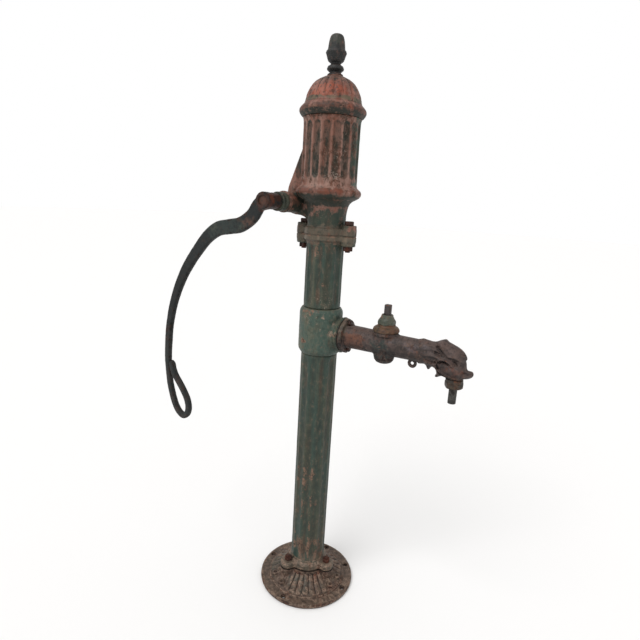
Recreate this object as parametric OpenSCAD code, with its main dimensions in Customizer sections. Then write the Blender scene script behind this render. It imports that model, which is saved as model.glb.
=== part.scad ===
// Cast-iron hand well pump: a fluted standard on a round foot, a spout with a plug cock,
// and a side lever that works the pump rod inside the barrel-shaped head.
// Origin: centre of the foot's underside. +Z up, +X along the spout, lever shaft along Y.

/* [Foot] */
// Radius of the round foot plate
base_r = 149; // [140:1:160]
// Thickness of the foot plate
plate_t = 12; // [8:1:14]
// Radius of the circle of ground bolt holes
ground_bolt_r = 134; // [132:1:136]
// Diameter of each ground bolt hole
ground_hole_d = 14; // [10:1:16]
// Height of the joint between foot and column
foot_joint_z = 58; // [56:1:60]

/* [Column] */
// Outer radius of the fluted column
column_r = 53; // [51:1:54]
// Number of flutes round the column
column_flutes = 12; // [8:1:16]
// Height of the spout's centre line
spout_z = 836; // [820:1:850]
// Outer radius of the tee that carries the spout
tee_r = 62.7; // [60:0.1:66]
// Height of the joint under the head
neck_joint_z = 1111; // [1110:1:1114]

/* [Head] */
// Outer radius of the fluted barrel
barrel_r = 76; // [74:1:78]
// Number of flutes round the barrel and the dome
barrel_flutes = 18; // [12:1:20]
// Height of the joint between barrel and dome
dome_joint_z = 1415; // [1410:1:1420]
// Total height of the pump
total_h = 1619; // [1610:1:1630]

/* [Lever] */
// Distance of the lever shaft behind the column's axis
shaft_x = 90; // [88:1:92]
// Height of the lever shaft
shaft_z = 1195; // [1193:1:1197]
// Radius of the lever shaft
shaft_r = 12.5; // [11:0.5:13]
// Distance of the handle's centre plane in front of the column's axis
handle_y = 165; // [162:1:168]
// Angle of the inner crank above level, with the handle hanging
crank_rise = 30; // [29:1:31]

/* [Cock] */
// Distance of the cock's axis from the column's axis
cock_x = 205; // [200:1:210]
// Width of the cock's square spindle
spindle_w = 17; // [14:1:17]

/* [Outlet] */
// Distance of the outlet from the column's axis
outlet_x = 402; // [398:1:406]
// Outer radius of the outlet nipple
nipple_r = 10.65; // [9:0.05:11]

/* [Pump works] */
// Inner radius of the brass cylinder liner
liner_r = 38; // [36:0.5:39]
// Radius of the pump rod
rod_r = 8; // [7:0.5:9]
// Height of the piston's underside at the top of its stroke
piston_z = 590; // [580:1:600]

/* [Hidden] */
$fn = 64;
eps = 0.01;
fit = 0.05;              // radial clearance of a running fit
gasket_t = 2;
// foot
bell_r = 112;
bell_top_r = 66;
foot_wall = 10;
inlet_r = 22.4;
foot_stud_r = 6;
foot_ear_r = 24;
foot_ear_x = 70;
foot_angles = [0, 120, 240];
foot_flange_t = 20;
foot_face_z = foot_joint_z + gasket_t;
foot_top_z = foot_face_z + foot_flange_t;
// column
column_bore_r = 42;
socket_r = 50;
tee_low_z = 772;
tee_high_z = 908;
tee_chamfer = 14;
socket_deep = 30;
// spout
branch_r = 22;
spout_face_x = 80;
spout_flange_t = 12;
spout_flange_r = 47;
spout_bolt_dz = 36;
spout_bolt_r = 5;
spout_head_t = 8;
spot_face_r = 10.5;
pipe_r_near = 34;
pipe_r_far = 30;
pipe_end_x = 335;
pipe_bore_r = 17;
// cock
cock_body_r = 29;
cock_low_z = spout_z - 54;
cock_top_z = spout_z + 34;
plug_low_z = spout_z - 34;
plug_top_z = spout_z + 24;
plug_r_low = 22;
plug_r_high = 24;
spindle_r = 12.2;
spindle_top_z = spout_z + 108;
// neck
neck_ear_x = 71;
neck_ear_r = 19;
neck_bolt_r = 7;
neck_bore_r = 46;
neck_face_z = neck_joint_z + gasket_t;
// head
barrel_bore_r = 69;
housing_half = 25;
housing_wall = 7;
housing_in = housing_half - housing_wall;
housing_r = 33;
bush_r = 17;
box_r = 21;
boss_front_y = 87;
boss_rear_y = 50;
gland_ring_y = 115;
hub_end_y = 178;
// crank and rod
crank_len = 90;
crank_half_w = 11;
cheek_in = 9;
cheek_out = 15;
pin_r = 8;
key_w = 6;
handle_pin_y = 135;
handle_pin_r = 4;
slot_gap = 1.5;
pin_rest_z = shaft_z + crank_len * sin(crank_rise);
pin_near_x = -shaft_x + crank_len * cos(crank_rise);
rod_low_z = piston_z - 22;
rod_top_z = pin_rest_z - 12;
crosshead_under = 24;     // from the pin's centre down to the crosshead's underside
crosshead_over = 18;
lock_nut_h = 9;
piston_h = 40;
valve_lift = 8;

// ---------- shapes used by several parts ----------

module ring(outer, inner, low, high) {
    translate([0, 0, low]) difference() {
        cylinder(r = outer, h = high - low);
        translate([0, 0, -1]) cylinder(r = inner, h = high - low + 2);
    }
}

// a round bar along Y, from y = from to y = to
module along_y(r, from, to) {
    translate([0, from, 0]) rotate([-90, 0, 0]) cylinder(r = r, h = to - from);
}

// a round bar along X
module along_x(r, from, to, r_end = 0) {
    translate([from, 0, 0]) rotate([0, 90, 0]) cylinder(r1 = r, r2 = r_end == 0 ? r : r_end, h = to - from);
}

module at_shaft() { translate([-shaft_x, 0, shaft_z]) children(); }

module at_foot_ears() { for (a = foot_angles) rotate(a) translate([foot_ear_x, 0, 0]) children(); }

module at_neck_ears() { for (s = [-1, 1]) translate([s * neck_ear_x, 0, 0]) children(); }

module at_spout_bolts() { for (s = [-1, 1]) translate([0, 0, spout_z + s * spout_bolt_dz]) children(); }

module foot_flange_outline() {
    circle(r = 62, $fn = 96);
    for (a = foot_angles) rotate(a) {
        translate([foot_ear_x, 0]) circle(r = foot_ear_r);
        translate([0, -foot_ear_r]) square([foot_ear_x, 2 * foot_ear_r]);
    }
}

module neck_flange_outline() {
    circle(r = 60);
    for (s = [-1, 1]) translate([s * neck_ear_x, 0]) circle(r = neck_ear_r);
    translate([-neck_ear_x, -neck_ear_r]) square([2 * neck_ear_x, 2 * neck_ear_r]);
}

// the two-bolt flange of the spout joint, a little taller than wide, pointing along +X
module spout_oval(from, to) {
    translate([from, 0, spout_z]) rotate([0, 90, 0]) linear_extrude(to - from) {
        circle(r = spout_flange_r);
        for (s = [-1, 1]) translate([s * spout_bolt_dz, 0]) circle(r = 14);
    }
}

module flutes(count, r, sink, cut_r, low, high) {
    for (i = [0 : count - 1]) rotate(360 / count * (i + 0.5))
        translate([r + cut_r - sink, 0, low]) cylinder(r = cut_r, h = high - low, $fn = 32);
}

module hex(across, h) { cylinder(r = across / sqrt(3), h = h, $fn = 6); }

// ---------- foot ----------

module base_plate() color("#6b4a3a") difference() {
    union() {
        cylinder(r = base_r, h = plate_t, $fn = 128);
        rotate_extrude($fn = 96) polygon([[0, plate_t - 1], [bell_r + 4, plate_t - 1], [bell_r + 4, plate_t + 5],
            [bell_r - 2, plate_t + 9], [92, plate_t + 17], [78, plate_t + 29], [70, foot_joint_z - 8],
            [bell_top_r, foot_joint_z], [0, foot_joint_z]]);
        for (a = foot_angles) rotate(a) translate([foot_ear_x, 0, plate_t]) cylinder(r = foot_ear_r, h = foot_joint_z - plate_t);
    }
    // hollow bell, with the suction boss left in its middle
    difference() {
        translate([0, 0, -1]) rotate_extrude($fn = 96) polygon([[0, 0], [bell_r - foot_wall, 0],
            [bell_r - foot_wall - 2, 10], [56, foot_joint_z - 18], [48, foot_joint_z - 11], [0, foot_joint_z - 11]]);
        translate([0, 0, 8]) cylinder(r = 34, h = foot_joint_z);
        for (a = foot_angles) rotate(a) translate([foot_ear_x, 0, 22]) cylinder(r = 12, h = foot_joint_z);
    }
    translate([0, 0, -1]) cylinder(r = inlet_r, h = foot_joint_z + 2);
    for (a = [0, 45, 90, 180, 270]) rotate(a) translate([ground_bolt_r, 0, -1]) cylinder(d = ground_hole_d, h = plate_t + 2);
    at_foot_ears() translate([0, 0, foot_joint_z - 28]) cylinder(r = foot_stud_r, h = 30);
}

module foot_gasket() color("#3a2c22") translate([0, 0, foot_joint_z]) difference() {
    linear_extrude(gasket_t) foot_flange_outline();
    translate([0, 0, -1]) cylinder(r = 30, h = gasket_t + 2);
    at_foot_ears() translate([0, 0, -1]) cylinder(r = foot_stud_r + 0.5, h = gasket_t + 2);
}

module foot_studs() color("#4a2a22") at_foot_ears() translate([0, 0, foot_joint_z - 28])
    cylinder(r = foot_stud_r, h = foot_top_z + 16 - foot_joint_z + 28);

module foot_nuts() color("#4a2018") at_foot_ears() translate([0, 0, foot_top_z]) difference() {
    hex(21, 11);
    translate([0, 0, -1]) cylinder(r = foot_stud_r, h = 13);
}

// ---------- suction valve, on the gasket in the column's foot ----------

seat_top_z = foot_face_z + 20;

module suction_valve_seat() color("#b08a45") {
    difference() {
        union() {
            ring(column_bore_r, 24, foot_face_z, seat_top_z);
            translate([-25, -4, foot_face_z]) cube([50, 8, 8]);
            translate([0, 0, foot_face_z]) cylinder(r = 10, h = 14);
        }
        translate([0, 0, foot_face_z - 1]) cylinder(r = 5 + fit, h = 30);
    }
}

module suction_valve() color("#c49a50") {
    translate([0, 0, seat_top_z]) cylinder(r = 30, h = 6);
    translate([0, 0, foot_face_z + 1]) cylinder(r = 5, h = seat_top_z - foot_face_z);
}

module suction_valve_cage() color("#a27c3c") {
    ring(column_bore_r, 35, seat_top_z, seat_top_z + 22);
    difference() {
        translate([-38, -6, seat_top_z + 6 + valve_lift]) cube([76, 12, 8]);
        ring(60, 38, seat_top_z, seat_top_z + 30);
    }
}

// ---------- column ----------

module lower_column() color("#465a4c") difference() {
    union() {
        cylinder_from(column_r, foot_face_z, tee_low_z);
        cylinder_from(socket_r, foot_face_z, tee_low_z + socket_deep);
        translate([0, 0, foot_face_z]) linear_extrude(foot_flange_t) foot_flange_outline();
    }
    flutes(column_flutes, column_r, 2.5, 10, foot_top_z + 6, tee_low_z - 10);
    cylinder_from(column_bore_r, foot_face_z - 1, tee_high_z);
    at_foot_ears() cylinder_from(foot_stud_r + 0.5, foot_face_z - 1, foot_top_z + 1);
}

module cylinder_from(r, low, high) { translate([0, 0, low]) cylinder(r = r, h = high - low, $fn = 96); }

module cylinder_liner() color("#b58d4a") ring(column_bore_r, liner_r, piston_z - 130, piston_z + 60);

module spout_tee() color("#4d6050") difference() {
    union() {
        rotate_extrude($fn = 96) polygon([[0, tee_low_z], [column_r + 1, tee_low_z], [tee_r, tee_low_z + tee_chamfer],
            [tee_r, tee_high_z - tee_chamfer], [column_r + 1, tee_high_z], [0, tee_high_z]]);
        translate([0, 0, spout_z]) along_x(36, 30, spout_face_x - 8);
        spout_oval(spout_face_x - 14, spout_face_x - gasket_t);
    }
    cylinder_from(column_bore_r, tee_low_z - 1, tee_high_z + 1);
    cylinder_from(socket_r, tee_low_z - 1, tee_low_z + socket_deep);
    cylinder_from(socket_r, tee_high_z - socket_deep, tee_high_z + 1);
    translate([0, 0, spout_z]) along_x(branch_r, 30, spout_face_x + 1);
    at_spout_bolts() along_x(spout_bolt_r, 60, spout_face_x + 1);
}

module upper_column() color("#48604f") difference() {
    union() {
        cylinder_from(column_r, tee_high_z, neck_joint_z - 1);
        cylinder_from(socket_r, tee_high_z - socket_deep, neck_joint_z - 1);
        translate([0, 0, neck_joint_z - 14]) linear_extrude(14) neck_flange_outline();
        at_neck_ears() cylinder_from(neck_ear_r, neck_joint_z - 26, neck_joint_z);
    }
    flutes(column_flutes, column_r, 2.5, 10, tee_high_z + 10, neck_joint_z - 20);
    cylinder_from(column_bore_r, tee_low_z, neck_joint_z + 1);
    cylinder_from(neck_bore_r, neck_joint_z - 8, neck_joint_z + 1);
    at_neck_ears() cylinder_from(neck_bolt_r + 0.5, neck_joint_z - 30, neck_joint_z + 1);
}

// ---------- spout ----------

module spout_gasket() color("#352a22") difference() {
    spout_oval(spout_face_x - gasket_t, spout_face_x);
    translate([0, 0, spout_z]) along_x(branch_r, 60, 100);
    at_spout_bolts() along_x(spout_bolt_r + 0.5, 60, 100);
}

// side view of the beast's head that ends the spout
module head_side() {
    polygon([[pipe_end_x - 10, 30], [pipe_end_x + 12, 33], [368, 41], [382, 37], [404, 29], [420, 18], [427, 2],
        [427, -20], [436, -26], [446, -30], [448, -36], [440, -44], [428, -50], [412, -54], [380, -54], [366, -46],
        [357, -56], [351, -42], [340, -34], [334, -40], [325, -31]]);
}

module spout() color("#6a4636") difference() {
    union() {
        spout_oval(spout_face_x, spout_face_x + spout_flange_t);
        translate([0, 0, spout_z]) along_x(pipe_r_near, spout_face_x + 4, pipe_end_x, pipe_r_far);
        translate([cock_x, 0, 0]) rotate_extrude() polygon([[0, cock_low_z], [16, cock_low_z], [24, cock_low_z + 5],
            [cock_body_r, cock_low_z + 15], [cock_body_r, cock_top_z - 14], [34, cock_top_z - 9],
            [34, cock_top_z], [0, cock_top_z]]);
        intersection() {
            translate([0, 30, spout_z]) rotate([90, 0, 0]) linear_extrude(60) head_side();
            translate([0, 0, spout_z - 6]) along_x(31, pipe_end_x - 20, 460, 24);
            translate([300, -30, spout_z - 60]) cube([160, 60, 110]);
        }
        translate([0, 0, spout_z]) intersection() {
            translate([0, 9, 0]) rotate([90, 0, 0]) linear_extrude(18) head_side();
            translate([330, -9, -60]) cube([130, 18, 110]);
        }
        translate([287, 0, spout_z - 35]) along_y(13.5, -4.5, 4.5);
    }
    translate([0, 0, spout_z]) along_x(pipe_bore_r, spout_face_x - 1, outlet_x);
    translate([outlet_x, 0, spout_z - 70]) cylinder(r = 15, h = 80);
    translate([287, 0, spout_z - 38]) along_y(4.5, -10, 10);
    translate([cock_x, 0, plug_low_z - 4]) cylinder(r1 = plug_r_low + fit, r2 = plug_r_high + fit, h = plug_top_z - plug_low_z + 4);
    translate([cock_x, 0, plug_top_z - eps]) cylinder(r = 28, h = 20);
    at_spout_bolts() {
        along_x(spout_bolt_r + 0.5, 60, 110);
        along_x(spot_face_r, spout_face_x + spout_flange_t, spout_face_x + spout_flange_t + spout_head_t + 1);
    }
}

module spout_bolts() color("#3f2a22") at_spout_bolts() {
    along_x(spout_bolt_r, spout_face_x - 12, spout_face_x + spout_flange_t + 1);
    translate([spout_face_x + spout_flange_t, 0, 0]) rotate([0, 90, 0]) hex(17, spout_head_t);
}

module cock_plug() color("#8f7440") translate([cock_x, 0, 0]) difference() {
    union() {
        translate([0, 0, plug_low_z]) cylinder(r1 = plug_r_low + 0.13, r2 = plug_r_high, h = plug_top_z - plug_low_z - 0.4);
        cylinder_from(spindle_r, plug_top_z - 2, cock_top_z + 44);
        translate([-spindle_w / 2, -spindle_w / 2, cock_top_z + 40]) cube([spindle_w, spindle_w, spindle_top_z - cock_top_z - 40]);
    }
    translate([0, 0, spout_z]) along_x(15, -30, 30);
}

module cock_bonnet() color("#7a4b33") translate([cock_x, 0, 0]) difference() {
    union() {
        cylinder_from(28, plug_top_z + 0.4, cock_top_z);
        rotate_extrude() polygon([[0, cock_top_z], [36, cock_top_z], [36, cock_top_z + 8], [32, cock_top_z + 13],
            [24, cock_top_z + 17], [24, cock_top_z + 20], [0, cock_top_z + 20]]);
    }
    cylinder_from(spindle_r + fit, plug_top_z - 1, cock_top_z + 30);
    cylinder_from(18, cock_top_z + 2, cock_top_z + 30);
}

module cock_packing() color("#2b2622") translate([cock_x, 0, 0]) ring(18, spindle_r + fit, cock_top_z + 2, cock_top_z + 12);

module cock_gland_nut() color("#55624f") translate([cock_x, 0, 0]) difference() {
    union() {
        cylinder_from(18, cock_top_z + 12, cock_top_z + 22);
        rotate_extrude() polygon([[0, cock_top_z + 20], [25, cock_top_z + 20], [25, cock_top_z + 31],
            [18, cock_top_z + 38], [15, cock_top_z + 47], [0, cock_top_z + 47]]);
    }
    cylinder_from(spindle_r + 0.4, cock_top_z, cock_top_z + 60);
}

outlet_top_z = spout_z - 54;

module outlet_bush() color("#4f4034") translate([outlet_x, 0, 0]) difference() {
    union() {
        cylinder_from(15, outlet_top_z, outlet_top_z + 18);
        cylinder_from(23, outlet_top_z - 10, outlet_top_z);
        translate([0, 0, outlet_top_z - 25]) hex(42, 15);
    }
    cylinder_from(nipple_r - 0.3, outlet_top_z - 30, outlet_top_z - 5);
    cylinder_from(8, outlet_top_z - 30, outlet_top_z + 20);
}

module outlet_nipple() color("#3c3b3a") translate([outlet_x, 0, 0]) {
    ring(nipple_r, 8, outlet_top_z - 67, outlet_top_z - 25);
    ring(nipple_r - 0.3, 8, outlet_top_z - 26, outlet_top_z - 5);
}

// ---------- neck joint ----------

module rod_guide() color("#b08a45") difference() {
    union() {
        cylinder_from(neck_bore_r, neck_joint_z - 8, neck_joint_z);
        cylinder_from(20, neck_joint_z - 46, neck_joint_z - 7);
    }
    cylinder_from(rod_r + fit, neck_joint_z - 50, neck_joint_z + 1);
    cylinder_from(14, neck_joint_z - 31, neck_joint_z + 1);
}

module rod_packing() color("#2b2622") ring(14, rod_r + fit, neck_joint_z - 31, neck_joint_z - 11);

module rod_gland_nut() color("#a27c3c") difference() {
    union() {
        cylinder_from(14, neck_joint_z - 11, neck_joint_z);
        translate([0, 0, neck_joint_z]) hex(34, 4);
    }
    cylinder_from(rod_r + 0.4, neck_joint_z - 20, neck_joint_z + 10);
}

module neck_gasket() color("#352a22") difference() {
    translate([0, 0, neck_joint_z]) linear_extrude(gasket_t) neck_flange_outline();
    cylinder_from(neck_bore_r - 4, neck_joint_z - 1, neck_joint_z + 5);
    at_neck_ears() cylinder_from(neck_bolt_r + 0.5, neck_joint_z - 1, neck_joint_z + 5);
}

neck_top_z = neck_joint_z + 31;

module neck_bolts() color("#4a2a20") at_neck_ears() {
    cylinder_from(neck_bolt_r, neck_joint_z - 42, neck_top_z + 1);
    translate([-12, -12, neck_top_z]) cube([24, 24, 11]);
}

module neck_nuts() color("#3b251e") at_neck_ears() translate([0, 0, neck_joint_z - 38]) difference() {
    hex(25, 12);
    translate([0, 0, -1]) cylinder(r = neck_bolt_r, h = 14);
}

// ---------- head ----------

// side view of the lever housing; shrink = 0 outside, housing_wall inside
module housing_side(shrink = 0) {
    polygon([[-40, 1143 + shrink], [-50, 1150 + shrink], [-59, 1157 + shrink * 0.7], [-72, 1161 + shrink * 0.5],
        [-shaft_x, 1164 + shrink], [-shaft_x - housing_r + shrink, shaft_z], [-117 + shrink, 1236],
        [-barrel_r + shrink * 0.8, 1338 - shrink], [-40, 1346 - shrink]]);
    translate([-shaft_x, shaft_z]) circle(r = housing_r - shrink);
}

module head_casting() color("#8a5a4a") difference() {
    union() {
        translate([0, 0, neck_face_z]) linear_extrude(20) neck_flange_outline();
        at_neck_ears() cylinder_from(neck_ear_r, neck_face_z, neck_top_z);
        rotate_extrude($fn = 96) polygon([[0, neck_face_z + 2], [column_r, neck_face_z + 2], [column_r, 1168], [55, 1182],
            [59, 1195], [67, 1205], [80, 1211], [87, 1217], [90, 1226], [86, 1233], [80, 1238], [barrel_r, 1245],
            [barrel_r, dome_joint_z], [72, dome_joint_z], [72, dome_joint_z + 12], [0, dome_joint_z + 12]]);
        translate([0, housing_half, 0]) rotate([90, 0, 0]) linear_extrude(2 * housing_half) housing_side();
        at_shaft() {
            along_y(29, -boss_front_y, 0);
            along_y(27, 0, boss_rear_y);
        }
    }
    flutes(barrel_flutes, barrel_r, 2.5, 9, 1262, 1400);
    cylinder_from(neck_bore_r, neck_joint_z, 1225);
    cylinder_from(barrel_bore_r, 1222, dome_joint_z + 20);
    translate([0, housing_in, 0]) rotate([90, 0, 0]) linear_extrude(2 * housing_in) housing_side(housing_wall);
    at_shaft() {
        along_y(bush_r, -boss_front_y - 1, boss_rear_y + 1);
        along_y(box_r, -boss_front_y - 1, -55);
    }
    at_neck_ears() cylinder_from(neck_bolt_r + 0.5, neck_joint_z, neck_top_z + 1);
    for (s = [-1, 1]) translate([-10, s * 71 - 3, dome_joint_z - 8]) cube([20, 6, 30]);
}

module sleeve_y(outer, inner, from, to) {
    difference() {
        along_y(outer, from, to);
        along_y(inner, from - 1, to + 1);
    }
}

module front_bush() color("#b08a45") at_shaft() sleeve_y(bush_r, shaft_r + fit, -55, -housing_in);

module rear_bush() color("#b08a45") at_shaft() sleeve_y(bush_r, shaft_r + fit, housing_in, 40);

module shaft_packing() color("#2b2622") at_shaft() sleeve_y(box_r, shaft_r + fit, -74, -55);

module gland_ring() color("#56634f") at_shaft() difference() {
    union() {
        along_y(box_r, -boss_front_y - 1, -74);
        along_y(25.5, -gland_ring_y + 0.5, -boss_front_y);
    }
    along_y(shaft_r + 0.4, -gland_ring_y - 1, -70);
}

module rear_plug() color("#5c463a") at_shaft() {
    along_y(bush_r, 41, boss_rear_y + 1);
    translate([0, boss_rear_y, 0]) rotate([-90, 0, 0]) hex(40, 7);
}

module bridge_bar() color("#4a3a32") difference() {
    translate([-9.5, -73.5, dome_joint_z - 8]) cube([19, 147, 8]);
    cylinder_from(6.3, dome_joint_z - 10, dome_joint_z + 2);
}

module tie_stud() color("#5a4a40") cylinder_from(6, dome_joint_z - 22, total_h - 54);

module tie_nut() color("#4a3a32") difference() {
    translate([0, 0, dome_joint_z - 18]) hex(20, 10);
    cylinder_from(6, dome_joint_z - 30, dome_joint_z);
}

dome_top_z = dome_joint_z + 104;

module dome_cap() color("#9a5238") difference() {
    rotate_extrude($fn = 96) polygon([[72.3, dome_joint_z], [82, dome_joint_z + 2], [88, dome_joint_z + 8],
        [90, dome_joint_z + 15], [88, dome_joint_z + 21], [82, dome_joint_z + 28], [76, dome_joint_z + 35],
        [74, dome_joint_z + 42], [72, dome_joint_z + 48], [67, dome_joint_z + 61], [61, dome_joint_z + 72],
        [52.5, dome_joint_z + 83], [41, dome_joint_z + 92], [25, dome_joint_z + 101], [21, dome_top_z],
        [0, dome_top_z], [0, dome_top_z - 12], [22, dome_top_z - 13], [38, dome_joint_z + 83],
        [50, dome_joint_z + 72], [58, dome_joint_z + 58], [64, dome_joint_z + 44], [66, dome_joint_z + 34],
        [72.3, dome_joint_z + 28]]);
    cylinder_from(6.3, dome_joint_z, total_h);
}

module finial() color("#2f3430") difference() {
    rotate_extrude() polygon([[0, dome_top_z], [21, dome_top_z], [16, dome_top_z + 4], [14.5, dome_top_z + 7],
        [18, dome_top_z + 10], [22, dome_top_z + 15], [22, dome_top_z + 18], [18, dome_top_z + 22],
        [12.5, dome_top_z + 26], [12.5, dome_top_z + 29], [19, dome_top_z + 34], [23, dome_top_z + 42],
        [25, dome_top_z + 50], [26.5, dome_top_z + 54], [26, dome_top_z + 59], [22.5, dome_top_z + 64],
        [21.5, dome_top_z + 72], [19.5, dome_top_z + 84], [16.5, dome_top_z + 93], [11, dome_top_z + 98],
        [4, total_h], [0, total_h]]);
    cylinder_from(6, dome_top_z - 1, total_h - 54);
}

// ---------- lever ----------

module key_bar() {
    rotate([0, -crank_rise, 0]) translate([-key_w / 2, -cheek_out, shaft_r - key_w / 2]) cube([key_w, 2 * cheek_out, key_w]);
}

module lever_shaft() color("#5a4438") at_shaft() difference() {
    along_y(shaft_r, -hub_end_y + 4, 38);
    key_bar();
    translate([0, -handle_pin_y, -40]) cylinder(r = handle_pin_r, h = 80);
}

module crank_fork() color("#4c4038") at_shaft() rotate([0, -crank_rise, 0]) difference() {
    union() {
        along_y(20, -cheek_out, cheek_out);
        for (y = [-cheek_out, cheek_in]) {
            translate([0, y, -crank_half_w]) cube([crank_len, cheek_out - cheek_in, 2 * crank_half_w]);
            translate([crank_len, 0, 0]) along_y(13, y, y + cheek_out - cheek_in);
        }
    }
    along_y(shaft_r, -30, 30);
    translate([crank_len, 0, 0]) along_y(pin_r, -30, 30);
    rotate([0, crank_rise, 0]) key_bar();
}

module crank_key() color("#6a5a4c") at_shaft() key_bar();

module crank_pin() color("#7a6a5a") at_shaft() rotate([0, -crank_rise, 0]) translate([crank_len, 0, 0])
    along_y(pin_r, -cheek_out - 1.5, cheek_out + 1.5);

// centre line of the lever, from the hub to the bend above the loop
bar_line = [[-20, -14], [-40, -42], [-78, -66], [-118, -74], [-158, -83], [-196, -108], [-232, -146],
    [-272, -196], [-306, -252], [-334, -318], [-352, -388], [-361, -456], [-363, -506]];
bar_w = [36, 37, 38, 38, 37, 34, 31, 29, 26, 23, 21, 20, 19];
// centre line of the eye forged at its end
eye_line = [[-363, -506], [-361, -540], [-356, -575], [-349, -603], [-341, -628], [-331, -651], [-316, -669],
    [-298, -677], [-283, -668], [-276, -650], [-277, -631], [-284, -612], [-297, -592], [-314, -571],
    [-330, -552], [-341, -532], [-343, -514]];
eye_w = 17;

function blend_at(p, i, t) = let (a = p[max(i - 1, 0)], b = p[i], c = p[i + 1], d = p[min(i + 2, len(p) - 1)])
    0.5 * (2 * b + (c - a) * t + (2 * a - 5 * b + 4 * c - d) * t * t + (3 * b - a - 3 * c + d) * t * t * t);
function smooth(p, steps) = [for (i = [0 : len(p) - 2]) for (k = [0 : steps - 1]) blend_at(p, i, k / steps), p[len(p) - 1]];
function side_of(p, i, half) = let (d = p[min(i + 1, len(p) - 1)] - p[max(i - 1, 0)])
    p[i] + half * [-d[1], d[0]] / norm(d);
function ribbon(p, w) = concat([for (i = [0 : len(p) - 1]) side_of(p, i, w[i] / 2)],
    [for (i = [len(p) - 1 : -1 : 0]) side_of(p, i, -w[i] / 2)]);

module handle() color("#343a3c") at_shaft() difference() {
    union() {
        along_y(20, -156, -gland_ring_y - 0.5);
        along_y(22.5, -hub_end_y, -155);
        translate([0, -handle_y + 8, 0]) rotate([90, 0, 0]) linear_extrude(16) {
            polygon(ribbon(smooth(bar_line, 4), smooth(bar_w, 4)));
            polygon(ribbon(smooth(eye_line, 3), [for (p = smooth(eye_line, 3)) eye_w]));
        }
    }
    along_y(shaft_r, -hub_end_y - 1, -gland_ring_y + 1);
    translate([0, -handle_pin_y, -40]) cylinder(r = handle_pin_r, h = 80);
}

module handle_pin() color("#6a5a4c") at_shaft() translate([0, -handle_pin_y, -21.5])
    cylinder(r = handle_pin_r, h = 43);

// ---------- pump rod ----------

module crosshead() color("#5c5048") difference() {
    translate([pin_near_x - 20, -8, pin_rest_z - crosshead_under])
        cube([40 - pin_near_x, 16, crosshead_under + crosshead_over]);
    translate([pin_near_x, 0, pin_rest_z]) {
        along_y(pin_r + slot_gap, -20, 20);
        translate([0, -20, -pin_r - slot_gap]) cube([-pin_near_x, 40, 2 * (pin_r + slot_gap)]);
        translate([-pin_near_x, 0, 0]) along_y(pin_r + slot_gap, -20, 20);
    }
    cylinder_from(6, pin_rest_z - 40, rod_top_z);
}

module rod_lock_nut() color("#5c5048") difference() {
    translate([0, 0, pin_rest_z - crosshead_under - lock_nut_h]) hex(24, lock_nut_h);
    cylinder_from(6, pin_rest_z - 50, pin_rest_z);
}

module pump_rod() color("#7a6c5c") {
    cylinder_from(rod_r, rod_low_z, pin_rest_z - crosshead_under - lock_nut_h);
    cylinder_from(6, pin_rest_z - 50, rod_top_z);
}

module piston_body() color("#b58d4a") difference() {
    union() {
        cylinder_from(36.5, piston_z + 26, piston_z + piston_h);
        cylinder_from(30, piston_z + 8, piston_z + 27);
    }
    cylinder_from(rod_r, piston_z, piston_z + 60);
    for (i = [0 : 5]) rotate(60 * i) translate([19, 0, 0]) cylinder_from(5.5, piston_z, piston_z + 60);
}

module piston_cup() color("#6b4a2c") ring(liner_r - fit, 30, piston_z + 8, piston_z + 26);

module cup_clamp() color("#a27c3c") difference() {
    cylinder_from(36, piston_z, piston_z + 8);
    cylinder_from(rod_r, piston_z - 1, piston_z + 10);
    for (i = [0 : 5]) rotate(60 * i) translate([19, 0, 0]) cylinder_from(5.5, piston_z - 1, piston_z + 60);
}

module piston_nut() color("#a27c3c") difference() {
    translate([0, 0, piston_z - 12]) hex(24, 12);
    cylinder_from(rod_r, piston_z - 20, piston_z + 1);
}

valve_low_z = piston_z + piston_h;

module piston_valve() color("#c49a50") ring(28, rod_r + 0.4, valve_low_z, valve_low_z + 6);

module valve_stop_nut() color("#a27c3c") difference() {
    translate([0, 0, valve_low_z + 6 + valve_lift]) hex(24, 10);
    cylinder_from(rod_r, valve_low_z, valve_low_z + 40);
}

base_plate();
suction_valve_seat();
suction_valve();
suction_valve_cage();
foot_gasket();
lower_column();
foot_studs();
foot_nuts();
cylinder_liner();
spout_tee();
spout_gasket();
spout();
spout_bolts();
cock_plug();
cock_bonnet();
cock_packing();
cock_gland_nut();
outlet_bush();
outlet_nipple();
upper_column();
rod_guide();
rod_packing();
rod_gland_nut();
neck_gasket();
neck_bolts();
neck_nuts();
head_casting();
front_bush();
rear_bush();
shaft_packing();
gland_ring();
rear_plug();
bridge_bar();
tie_stud();
tie_nut();
dome_cap();
finial();
lever_shaft();
crank_fork();
crank_pin();
crank_key();
handle();
handle_pin();
crosshead();
rod_lock_nut();
pump_rod();
piston_body();
piston_cup();
cup_clamp();
piston_nut();
valve_stop_nut();
piston_valve();
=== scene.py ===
"""A cast-iron hand well pump: fluted standard on a round foot, plug-cock spout that ends in a
water-beast's head, and a side lever on a barrel-shaped head. Sizes are millimetres until a mesh is made."""
import math
from itertools import product

import bpy
import numpy as np
from mathutils import Euler, Matrix


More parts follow.
